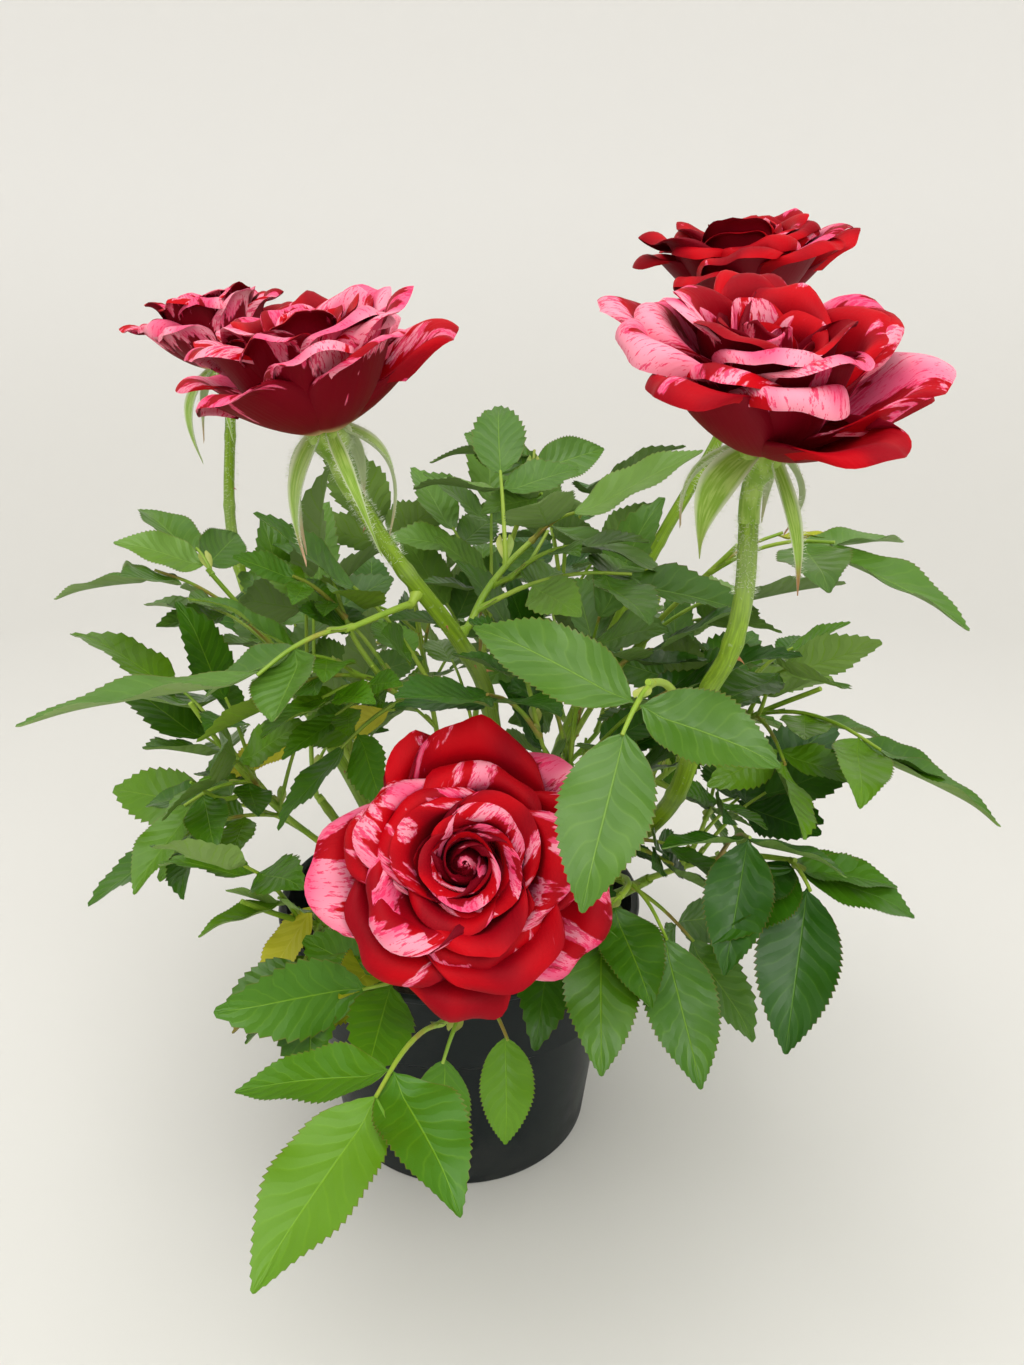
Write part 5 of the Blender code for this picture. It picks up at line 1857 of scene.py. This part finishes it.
class Fineness(Enum):
    """How finely a leaflet is cut: rows along it, columns across it, and how deep its teeth are."""

    NEAR = (53, 9, 0.040)
    PLAIN = (25, 3, 0.055)


@dataclass
class Foliage:
    """Every spray: its green stem, stalks, stipules and saw-edged leaflets.

    A blade's claw is the share of its length that is bare, its swell the power that its width grows with,
    and least its width at the tip. Fold is a share of the width, and wave of the length.
    """

    plan: Plan
    thickness: float = 0.00028
    half_width: float = 0.43
    claw: float = 0.035
    swell: float = 0.72
    widest: float = 0.4186
    least: float = 0.014
    fold: float = 0.11
    wave: float = 0.020
    outward_share: float = 0.9
    loose_roll: float = 0.25
    sink: float = 0.0016
    stem_radius: float = 0.00115
    stalk_radius: float = 0.00070
    stalk_end: float = 0.00043
    stalk_points: int = 12
    stalk_skin: StalkSkin = StalkSkin()
    stipule_skin: PlainSkin = PlainSkin("stipule_green", (0.24, 0.36, 0.05), (0.42, 0.46, 0.10), 0.5)

    def blades(self, leaflets: list[Leaflet], fineness: Fineness, rng: Draws) -> Array:
        """Faces of many leaflets at once.

        Past the bare foot the half width follows t to the power of the swell, times 1 - t. Every second
        row is a tooth: its rim is pushed outwards and towards the tip, and the rows between are notches.
        Both halves rise from the midrib to the rim, the blade droops with the square of t, its tip curls,
        and its rim waves. Plainly cut blades are first turned to the outside of the crown.

        Args:
            leaflets: the blades' roots, directions and sizes.
            fineness: rows, columns and depth of the teeth.
            rng: the spray's own random numbers.

        Returns:
            Points shaped (leaflets, rows, columns, 3).
        """
        rows, columns, depth = fineness.value
        each = (len(leaflets), 1, 1)
        base, along, face, length, width = gathered(leaflets, "base", "along", "face", "length", "width")
        if fineness is Fineness.PLAIN:
            face = self.faced(base, along, face, rng)
        t, s = levels(0.0, 1.0, rows), levels(-1.0, 1.0, columns, 2)
        bulk = np.clip((t - self.claw) / (1 - self.claw), 0.0, 1.0)
        outline = bulk**self.swell * (1 - bulk) / (self.widest**self.swell * (1 - self.widest))
        tooth = np.where(np.arange(rows) % 2 == 1, 1.0, -1.0)[None, :, None]
        rim = np.abs(s) ** 8
        saw = depth * rim * outline**0.5
        half = self.half_width * width * np.maximum(outline * (1 + saw * tooth), self.least)
        place = t + rim * np.maximum(tooth, 0.0) * 0.75 / (rows - 1) * smooth_step(t, 0.02, 0.12)
        place = np.clip(place, 0.0, 1.0)
        droop = 0.7 * LEAF_DROOP + rng.uniform(-0.05, 0.07, each)
        curl = rng.uniform(0.0, 0.10, each) * smooth_step(t, 0.6, 1.0) ** 2
        phase = rng.uniform(0, FULL_TURN, each)
        waves = self.wave * np.sin(FULL_TURN * 2.3 * t + phase + 1.3 * np.sign(s)) * np.abs(s) ** 1.5
        fold = self.fold * rng.uniform(0.6, 1.5, each)
        lift = (fold * width * (np.abs(s) ** 1.25 * np.minimum(outline, 1.0) - 1.0) * smooth_step(t, 0.0, 0.2)
                + waves * length * outline - (droop + curl) * length * t**2)
        bend = rng.uniform(-0.05, 0.05, each) * length * t**2
        return (base + along * (place * length)[..., None] + face * lift[..., None]
                + np.cross(face, along) * (half * s + bend)[..., None])

    def faced(self, base: Array, along: Array, face: Array, rng: Draws) -> Array:
        """Faces of blades turned about their own length, part of the way to the outside of the crown.

        Args:
            base: the blades' roots, shaped (N, 1, 1, 3) like the rest.
            along: the ways they point.
            face: the ways they face.
            rng: the spray's own random numbers.

        Returns:
            The new ways they face.
        """
        outward = lengths_one(base - CROWN_CENTRE)
        level = outward - (outward * along).sum(axis=-1, keepdims=True) * along
        out = lengths_one(face + self.outward_share * level)
        roll = rng.normal(0.0, self.loose_roll, base.shape[:3])[..., None]
        return np.cos(roll) * out + np.sin(roll) * np.cross(along, out)

    def build(self) -> None:
        """Make each spray's leaf piece and stalk piece, the odd leaves', then the stipules of all."""
        stipules = Surface()
        for spray in SPRAYS:
            rng = np.random.default_rng(spray.seed + 900)
            placed = self.plan.placed[spray.name]
            grown = self.plan.grown[spray.name] + self.plan.finer[spray.name]
            skin = Surface()
            for leaves, fineness in ((placed, Fineness.NEAR), (grown, Fineness.PLAIN)):
                leaflets = leaflets_of(leaves)
                if leaflets:
                    shade = rng.uniform(0.0, 1.0, len(leaflets))
                    skin.sheets(self.blades(leaflets, fineness, rng), self.thickness, leaf_seed=shade)
            skin.piece(spray.name + "_leaves", spray.tone.value, "leaf", spray.name, crease=80.0)
            skin = self.stems(spray, rng)
            self.stalks(spray.name, skin, placed + grown, stipules, rng)
        for tone in (Tone.GOLDEN, Tone.BROWNED):
            leaves = [leaf for shade, leaf in self.plan.odd if shade is tone]
            leaflets = leaflets_of(leaves)
            rng = np.random.default_rng(len(leaflets) + 61)
            skin = Surface()
            skin.sheets(self.blades(leaflets, Fineness.NEAR, rng), self.thickness,
                        leaf_seed=rng.uniform(0, 1, len(leaflets)))
            skin.piece(tone.value.name + "_leaves", tone.value, "leaf", crease=80.0)
            self.stalks(tone.value.name, Surface(), leaves, stipules, rng)
        stipules.piece("stipules", self.stipule_skin, "leaf")

    def stems(self, spray: Spray, rng: Draws) -> Surface:
        """A spray's stem and its finer twigs as tapering tubes, the stem sunk in what carries it.

        Args:
            spray: the spray.
            rng: the spray's own random numbers.

        Returns:
            The surface that holds them.
        """
        skin = Surface()
        stem = self.plan.stems[spray.name]
        main = np.vstack([stem[0] - unit(stem[1] - stem[0]) * self.sink, smooth_path(stem, 26)])
        self.tube(skin, main[None], self.stem_radius, self.stalk_radius, 8, np.array([0.3]))
        twigs = self.plan.twigs[spray.name]
        if twigs:
            fine = np.array([smooth_path(twig, self.stalk_points) for twig in twigs])
            self.tube(skin, fine, self.stem_radius * 0.8, self.stalk_end, 6, rng.uniform(0, 0.6, len(fine)))
        return skin

    def stalks(self, name: str, skin: Surface, leaves: list[Leaf], stipules: Surface, rng: Draws) -> None:
        """Leaf stalks as tapering tubes, finished as one piece with what the surface already holds.

        Args:
            name: first part of the piece's name.
            skin: the surface.
            leaves: the leaves.
            stipules: where their stipules are gathered.
            rng: the spray's own random numbers.
        """
        if leaves:
            fine = np.array([smooth_path(leaf.path, self.stalk_points) for leaf in leaves])
            self.tube(skin, fine, self.stalk_radius, self.stalk_end, 6, rng.uniform(0, 1, len(fine)))
            self.grow_stipules(stipules, fine, rng)
        skin.piece(name + "_stalks", self.stalk_skin, "leaf")

    def tube(self, skin: Surface, paths: Array, foot: float, tip: float, sides: int, seed: Array) -> None:
        """Tapering tubes along many paths, wider where they leave what carries them.

        Args:
            skin: where they are gathered.
            paths: shaped (N, rings, 3).
            foot: radius at the start.
            tip: radius at the end.
            sides: corners of each ring.
            seed: a number for each tube.
        """
        share = np.linspace(0.0, 1.0, paths.shape[1])
        radii = (foot + (tip - foot) * share) * (1 + 0.45 * bell(share, 0.07))
        heading = headings(paths)
        reference = np.eye(3)[np.abs(paths[:, -1] - paths[:, 0]).argmin(axis=1)][:, None]
        normals = lengths_one(np.cross(heading, np.broadcast_to(reference, heading.shape)))
        skin.tubes(paths, normals, np.broadcast_to(radii, paths.shape[:2]), sides, stalk_seed=seed)

    def grow_stipules(self, skin: Surface, stalks: Array, rng: Draws) -> None:
        """Stipules: two narrow wings along each stalk's foot, widest two thirds up, ending in free points.

        Args:
            skin: where they are gathered.
            stalks: paths of the stalks, shaped (N, rings, 3).
            rng: the spray's own random numbers.
        """
        root = stalks[:, 0]
        heading = lengths_one(stalks[:, 3] - root)
        level = lengths_one(np.cross(heading, np.cross(UP, heading) + 1e-6))
        across = np.cross(level, heading)
        root, heading, level, across = (value[:, None, None] for value in (root, heading, level, across))
        size = rng.uniform(0.0055, 0.0085, len(stalks))[:, None, None, None]
        t, s = levels(0.0, 1.0, 9, 1, 4), levels(0.0, 1.0, 4, 2, 4)
        width = 0.24 * np.sin(math.pi * np.clip(t, 0.02, 0.98) ** 1.6) + 0.02
        free = 0.30 * np.clip(t - 0.6, 0.0, 1.0)
        for hand, order in ((-1.0, 1), (1.0, -1)):
            wing = (root + heading * t * size + hand * across * size * (width * s + free)
                    + level * size * 0.10 * s * t)
            skin.sheets(wing[:, :, ::order], 0.0002)


# ---- blooms
@dataclass(frozen=True)
class PetalRow:
    """One whorl of petals.

    Attributes:
        count: petals in the whorl.
        share: length as a share of the bloom's radius.
        foot: angle from the axis at the root, in degrees.
        opening: angle from the axis where the petal is straightest, in degrees.
        roll: how much further its rim rolls over, in degrees.
        ratio: width over length.
        root: height of its root above the outer row's.
        cup: how far its sides rise, as a share of its length.
        curl: how far its sides fall back near the rim.
        overlap: how far one side rides over the next petal.
    """

    count: int
    share: float
    foot: float
    opening: float
    roll: float
    ratio: float
    root: float
    cup: float
    curl: float
    overlap: float


# The whorls from the outside in.
WHORLS = tuple(PetalRow(*row) for row in (
    (5, 1.00, 74.0, 46.0, 105.0, 1.05, 0.0000, 0.10, 0.03, 0.06),
    (5, 0.97, 70.0, 34.0, 135.0, 1.22, 0.0008, 0.07, 0.03, 0.06),
    (5, 0.92, 64.0, 25.0, 140.0, 1.25, 0.0014, 0.06, 0.02, 0.06),
    (4, 0.85, 58.0, 18.0, 120.0, 1.36, 0.0020, 0.05, 0.02, 0.06),
    (4, 0.76, 52.0, 11.0, 95.0, 1.44, 0.0026, 0.03, 0.02, 0.07),
    (4, 0.66, 50.0, 3.0, 60.0, 1.45, 0.0030, 0.01, 0.01, 0.08),
    (3, 0.58, 50.0, -8.0, 30.0, 1.60, 0.0032, 0.00, 0.00, 0.09),
    (3, 0.53, 44.0, -22.0, 0.0, 1.60, 0.0034, 0.00, 0.00, 0.12),
))


@dataclass
class Blooms:
    """The five blooms: petals in whorls, a goblet hip on its stub, and five felted sepals.

    Rounding is how much shorter a petal is at its sides, and side roll the share of its roll that is lost
    there. A bloom's radius is measured by a percentile of the two outer whorls' reach.
    """

    plan: Plan
    rows: int = 28
    columns: int = 23
    petal_thickness: float = 0.00038
    root_radius: float = 0.0024
    length_scale: float = 1.30
    rounding: float = 0.46
    roll_from: float = 0.79
    side_roll: float = 0.85
    outer_share: float = 98
    sink: float = 0.0016
    sepal_thickness: float = 0.00035
    sepal_breadths: tuple[float, ...] = (1.45, 0.55, 0.75, 1.30, 0.50)
    hair_count: int = 900
    hair_radii: tuple[float, ...] = (0.000035, 0.000028, 0.000008)
    petal_skin: PetalSkin = PetalSkin()
    sepal_skin: SepalSkin = SepalSkin()
    hair_skin: PlainSkin = PlainSkin("hair_white", (0.72, 0.78, 0.60), (0.85, 0.88, 0.76), 0.6)

    def petals(self, plan: BloomPlan) -> tuple[Array, Array]:
        """All petals of one bloom as sheets, and each one's share of pink.

        v runs from root to rim and u from side to side. Each column of a petal is a curve in a plane
        through the axis: its angle from the axis goes from the foot's to the opening's as v grows, and
        near the rim it rolls further over, less so at the sides and more on one side than on the other.
        Side columns are shorter, which rounds the end, and the middle one a little longer, which points
        it. Across, the petal wraps round the axis by its half width over its distance from the axis. Off
        that surface, along its normal, the sides rise into a cup, fall back near the rim, one side rides
        over the next petal, and the rim ripples. The bloom is then scaled to its radius, and leans.

        Args:
            plan: the bloom's plan.

        Returns:
            Points shaped (petals, rows, columns, 3), and an array of shares.
        """
        bloom = plan.bloom
        rng = np.random.default_rng(bloom.seed + 70)
        table, paints = [], []
        for rank, row in enumerate(WHORLS):
            outer = [petal for petal in plan.petals if petal[0] == rank]
            turn = rng.uniform(0, FULL_TURN)
            for k in range(row.count):
                azimuth = turn + (k + rng.uniform(-0.14, 0.14)) * FULL_TURN / row.count
                opening = math.radians(row.opening * (0.45 + 0.55 * bloom.openness) + rng.uniform(-6, 6))
                length = bloom.radius * row.share * rng.uniform(0.93, 1.06)
                if outer:
                    _, azimuth, opening, length = outer[k]
                    opening = opening * row.opening / OUTER_ROWS[rank][2] + math.radians(rng.uniform(-9, 14))
                    length = length * row.share / OUTER_ROWS[rank][1]
                roll = math.radians(row.roll * rng.uniform(0.50, 1.30))
                table.append((azimuth, opening, length * self.length_scale, roll, math.radians(row.foot),
                              row.ratio * bloom.breadth * rng.uniform(0.90, 1.10), row.root + PETAL_SEAT,
                              row.cup * rng.uniform(0.7, 1.3), row.curl * rng.uniform(0.5, 1.5),
                              row.overlap, rng.uniform(-0.12, 0.12), rng.uniform(0, FULL_TURN),
                              rng.uniform(0.00, 0.06), rng.uniform(-0.45, 0.45)))
                paints.append(bloom.paint + rng.uniform(-bloom.spread, bloom.spread))
        for rank, k, share in bloom.painted:
            paints[sum(row.count for row in WHORLS[:rank]) + k] = share
        return self.petal_sheets(np.array(table), plan), np.array(paints)

    def petal_sheets(self, table: Array, plan: BloomPlan) -> Array:
        """The petals' points, from a table with one petal a row. See petals for the formula.

        Args:
            table: azimuth, opening, length, roll, foot, ratio, root, cup, curl, overlap, twist, phase,
                point and skew of each petal.
            plan: the bloom's plan.

        Returns:
            Points shaped (petals, rows, columns, 3).
        """
        bloom = plan.bloom
        (azimuth, opening, length, roll, foot, ratio, root, cup, curl, overlap, twist, phase, point,
         skew) = (value[:, None, None] for value in table.T)
        v = 1 - (1 - levels(0.0, 1.0, self.rows)) ** 1.35
        u = levels(-1.0, 1.0, self.columns, 2)
        edge = np.abs(u)
        short = 1 - self.rounding / bloom.breadth**2 * edge**2.4 + point * bell(u, 0.13)
        rolled = np.clip((v - self.roll_from) / (1 - self.roll_from), 0.0, 1.0)
        angle = (foot + (opening - foot) * np.clip(v * 1.8, 0.0, 1.0) ** 0.9
                 + roll * (1 + skew * u) * (1 - self.side_roll * edge**2.5) * rolled)
        middle = (angle[:, 1:] + angle[:, :-1]) / 2
        step = length * short * np.diff(v, axis=1)
        nothing = np.zeros_like(angle[:, :1])
        run, rise = (np.concatenate([nothing, np.cumsum(part * step, axis=1)], axis=1)
                     for part in (np.sin(middle), np.cos(middle)))
        half = 0.5 * length * ratio * np.sin(math.pi * (0.07 + 0.68 * v)) ** 0.85
        reach = self.root_radius + run
        least = 0.36 * length * ratio * np.sin(np.clip(opening, 0.1, 1.6))
        around = np.maximum(reach[:, :, self.columns // 2][..., None], np.maximum(least, 0.0028))
        wrap = azimuth + u * half / around + twist * v**2
        ripple = 0.020 * np.sin(2.6 * math.pi * u + phase) * v**3 + 0.010 * np.sin(7.0 * u - 2 * phase) * v**2
        lift = length * (cup * u**2 * np.sin(math.pi * v * 0.9) + overlap * u * v + ripple
                         - curl * np.clip((edge - 0.45) / 0.55, 0.0, 1.0) ** 2 * v**3)
        lift = np.clip(lift, -0.45 * np.abs(reach) - 0.001, 0.45 * np.abs(reach) + 0.001)
        reach = np.maximum(reach - lift * np.cos(angle), 0.0003)
        high = root + rise + lift * np.sin(angle)
        local = np.stack([reach * np.cos(wrap), reach * np.sin(wrap), high - HIP_HEIGHT], axis=-1)
        first = local[:WHORLS[0].count + WHORLS[1].count]
        spread = np.percentile(np.hypot(first[..., 0], first[..., 1]), self.outer_share)
        local = local * (bloom.radius * bloom.fullness / spread)
        local[..., 0] += bloom.lean * np.clip(local[..., 2] / bloom.radius, 0.0, 1.0)
        return plan.placed(local + UP * HIP_HEIGHT)

    def hip(self, plan: BloomPlan) -> tuple[Array, Array]:
        """Centre line and radii of stub and hip: a neck, a goblet that swells to its shoulder, and a rim.

        Args:
            plan: the bloom's plan.

        Returns:
            The centre line and its radii.
        """
        start = plan.start - plan.heading * self.sink
        neck = smooth_path((start, plan.start + plan.heading * STUB_LENGTH * 0.6, plan.seat), 12)
        heights = levels(0.0, HIP_HEIGHT + 0.0035, 22, 0, 2)[1:]
        goblet = np.interp(heights[:, 0] / HIP_HEIGHT, (0.0, 0.15, 0.35, 0.60, 0.85, 1.05, 1.38),
                           (STUB_R, STUB_R * 1.08, STUB_R * 1.65, HIP_R * 0.98, HIP_R, HIP_R * 0.80, 0.0026))
        line = np.vstack([neck, plan.seat + heights * plan.axes[:, 2]])
        return line, np.concatenate([np.full(len(neck), STUB_R * 1.04), goblet])

    def sepals(self, plan: BloomPlan) -> Array:
        """Five sepals: strips that leave the hip's shoulder, fall back and curl, widest near the foot.

        Along a sepal the half width follows the sine of a share of half a turn that starts at 0.30 and
        ends at 1, to the power 1.7. Its line bows with the square of the place, sways sideways and
        twists, and its edges fold towards its face.

        Args:
            plan: the bloom's plan.

        Returns:
            Points shaped (5, rows, columns, 3).
        """
        rng = np.random.default_rng(plan.bloom.seed + 40)
        base, along, face, length = gathered(plan.sepals, "base", "along", "face", "length")
        t, s = levels(0.0, 1.0, 30), levels(-1.0, 1.0, 7, 2)
        broad = 0.5 * SEPAL_WIDTH * np.array(self.sepal_breadths)[:, None, None]
        width = broad * np.sin(math.pi * (0.30 + 0.70 * t)) ** 1.7 + 0.00012
        bow = rng.uniform(-0.75, 0.05, (5, 1, 1))
        sway = rng.uniform(-0.30, 0.30, (5, 1, 1))
        twist = (rng.uniform(-0.9, 0.9, (5, 1, 1)) * t**1.5)[..., None]
        sideways = np.cross(face, along)
        across = np.cos(twist) * sideways + np.sin(twist) * face
        rise = length * (0.10 * np.sin(math.pi * t) + bow * (t**2 - 0.5 * t)) + 0.0012 * s**2 * (1 - t)
        return (base + along * (t * length)[..., None] + face * rise[..., None]
                + sideways * (length * sway * t**2)[..., None] + across * (s * width)[..., None])

    def build(self) -> None:
        """Make each bloom's petals, hip, sepals and hairs."""
        for name, plan in self.plan.blooms.items():
            sheets, paints = self.petals(plan)
            rng = np.random.default_rng(plan.bloom.seed + 7)
            petals, hip, sepals = Surface(), Surface(), Surface()
            petals.sheets(sheets, self.petal_thickness, petal_seed=rng.uniform(0, 1, len(sheets)),
                          petal_paint=paints)
            petals.piece(name + "_petals", self.petal_skin, "petal", name, crease=85.0)
            line, radii = self.hip(plan)
            _, normals = path_frames(line)
            hip.tubes(line[None], normals[None], radii[None], 20, sepal_blush=np.zeros(1))
            hip.piece(name + "_hip", self.sepal_skin, "cane_bark")
            blades = self.sepals(plan)
            sepals.sheets(blades, self.sepal_thickness, sepal_blush=rng.uniform(-0.6, 0.9, 5).clip(0, 1))
            sepals.piece(name + "_sepals", self.sepal_skin, "leaf")
            self.hairs(plan, line, normals, radii, blades, rng).piece(name + "_hairs", self.hair_skin, "leaf")

    def hairs(self, plan: BloomPlan, line: Array, normals: Array, radii: Array, blades: Array,
              rng: Draws) -> Surface:
        """Fine white hairs on the hip, on the cane under it and along the sepals' edges.

        Each is a needle of three sides: it leaves along the surface's normal with a random lean, and bends
        sideways with the square of the place.

        Args:
            plan: the bloom's plan.
            line: the hip's centre line.
            normals: its normals.
            radii: its radii.
            blades: the sepals' points.
            rng: the bloom's own random numbers.

        Returns:
            The surface that holds them.
        """
        cane = self.plan.limbs[plan.bloom.cane]
        upper = smooth_path(cane.route[-2:], 40)
        hairy = slice(6, -5)
        spots = np.vstack([line[hairy], upper])
        sizes = np.concatenate([radii[hairy], np.full(len(upper), cane.tip_radius)])
        frames = np.vstack([normals[hairy], path_frames(upper)[1]])
        pick = rng.integers(0, len(spots), self.hair_count)
        heading = headings(spots)[pick]
        turn = rng.uniform(0, FULL_TURN, self.hair_count)[:, None]
        out = np.cos(turn) * frames[pick] + np.sin(turn) * np.cross(heading, frames[pick])
        slide = heading * rng.uniform(-0.0005, 0.0005, self.hair_count)[:, None]
        roots = [spots[pick] + out * sizes[pick, None] * 0.96 + slide]
        ways = [out]
        for near, far in ((0, 1), (-1, -2)):
            edge, inner = blades[:, 1:-4, near], blades[:, 1:-4, far]
            for _ in range(3):
                blend = rng.uniform(0, 1, (*edge.shape[:2], 1))
                roots.append((edge * blend + np.roll(edge, -1, axis=1) * (1 - blend))[:, :-1].reshape(-1, 3))
                ways.append(lengths_one(edge - inner + 1e-9)[:, :-1].reshape(-1, 3))
        root, way = np.vstack(roots), np.vstack(ways)
        way = lengths_one(way + rng.normal(0, 0.30, way.shape))
        aside = lengths_one(np.cross(way, rng.normal(0, 1, way.shape)))
        size = rng.uniform(0.0005, 0.0013, len(root))[:, None, None]
        share = levels(0.0, 1.0, len(self.hair_radii))
        paths = root[:, None] + size * (share * way[:, None] + 0.25 * share**2 * aside[:, None])
        across = np.broadcast_to(lengths_one(np.cross(way, aside))[:, None], paths.shape)
        skin = Surface()
        skin.tubes(paths, across, np.broadcast_to(self.hair_radii, paths.shape[:2]), 3)
        return skin


# ---- studio
@dataclass(frozen=True)
class Lamp:
    """A square soft light that faces the plant: its place, side, power and colour."""

    name: str
    where: Point
    size: float
    watts: float
    tint: Colour = (1.0, 1.0, 1.0)
    target: Point = (0.0, 0.0, 0.15)

    def build(self) -> None:
        """Hang the light."""
        light = bpy.data.lights.new(self.name, "AREA")
        light.size = self.size
        light.energy = self.watts
        light.color = self.tint
        matrix = np.eye(4)
        matrix[:3, :3] = own_axes(unit(np.array(self.where) - np.array(self.target)))
        matrix[:3, 3] = self.where
        add_to_scene(self.name, light).matrix_world = Matrix(matrix.tolist())


@dataclass
class Studio:
    """Pale seamless floor and wall, soft light from above and in front, and the camera."""

    eye: Point = (0.0175, -0.305, 0.263)
    pitch: float = 19.0
    focal_pixels: float = 1026.0
    frame_height: float = 1365.0
    sensor: float = 36.0
    floor_radius: float = 0.75
    wall_radius: float = 1.60
    wall_height: float = 1.9
    sides: int = 96
    air: tuple[float, ...] = (1.0, 0.995, 0.985, 1.0)
    air_strength: float = 0.85
    lamps: tuple[Lamp, ...] = (Lamp("key", (-0.25, -0.40, 1.45), 1.2, 8.8, (1.0, 0.985, 0.96)),
                               Lamp("front", (0.32, -1.00, 1.00), 0.9, 8.5))
    finish: Backdrop = Backdrop()

    def backdrop(self) -> None:
        """A shallow bowl: level out to the floor's radius, then a quarter ellipse up into a round wall."""
        turn = np.linspace(0.0, math.pi / 2, 30)
        curve = np.stack([self.floor_radius + (self.wall_radius - self.floor_radius) * np.sin(turn),
                          self.wall_height * 0.5 * (1 - np.cos(turn))], axis=1)
        profile = np.vstack([[[0.02, 0.0], [0.2, 0.0]], curve, [[self.wall_radius, self.wall_height]]])
        points = revolved(profile, self.sides).reshape(-1, 3)
        index = np.arange(len(points)).reshape(-1, self.sides)
        faces = quads(np.hstack([index, index[:, :1]])).tolist()
        mesh = bpy.data.meshes.new("backdrop")
        mesh.from_pydata(points.tolist(), [], [*faces, index[0].tolist()])
        mesh.shade_smooth()
        mesh.materials.append(self.finish.material())
        made = add_to_scene("backdrop", mesh)

    def build(self) -> None:
        """Set the backdrop, the lights, the world and the camera."""
        scene = bpy.context.scene
        self.backdrop()
        for lamp in self.lamps:
            lamp.build()
        scene.world = bpy.data.worlds.new("studio_air")
        scene.world.use_nodes = True
        shade = scene.world.node_tree.nodes["Background"]
        shade.inputs["Color"].default_value = self.air
        shade.inputs["Strength"].default_value = self.air_strength
        camera = bpy.data.cameras.new("camera")
        camera.sensor_width = self.sensor
        camera.lens = self.focal_pixels / self.frame_height * self.sensor
        camera.clip_start = 0.01
        scene.camera = add_to_scene("camera", camera)
        scene.camera.location = self.eye
        scene.camera.rotation_euler = (math.radians(90.0 - self.pitch), 0.0, 0.0)
        scene.view_settings.view_transform = "Standard"


def main() -> None:
    """Build the studio and every sub-assembly in order."""
    logging.basicConfig(level=logging.INFO, format="%(message)s")
    Studio().build()
    plan = Plan()
    plan.grow()
    for assembly in (Pot(), CompostBed(), Canes(plan), Foliage(plan), Blooms(plan)):
        assembly.build()
        LOG.info("%s is built", type(assembly).__name__)
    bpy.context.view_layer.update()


if __name__ == "__main__":
    main()
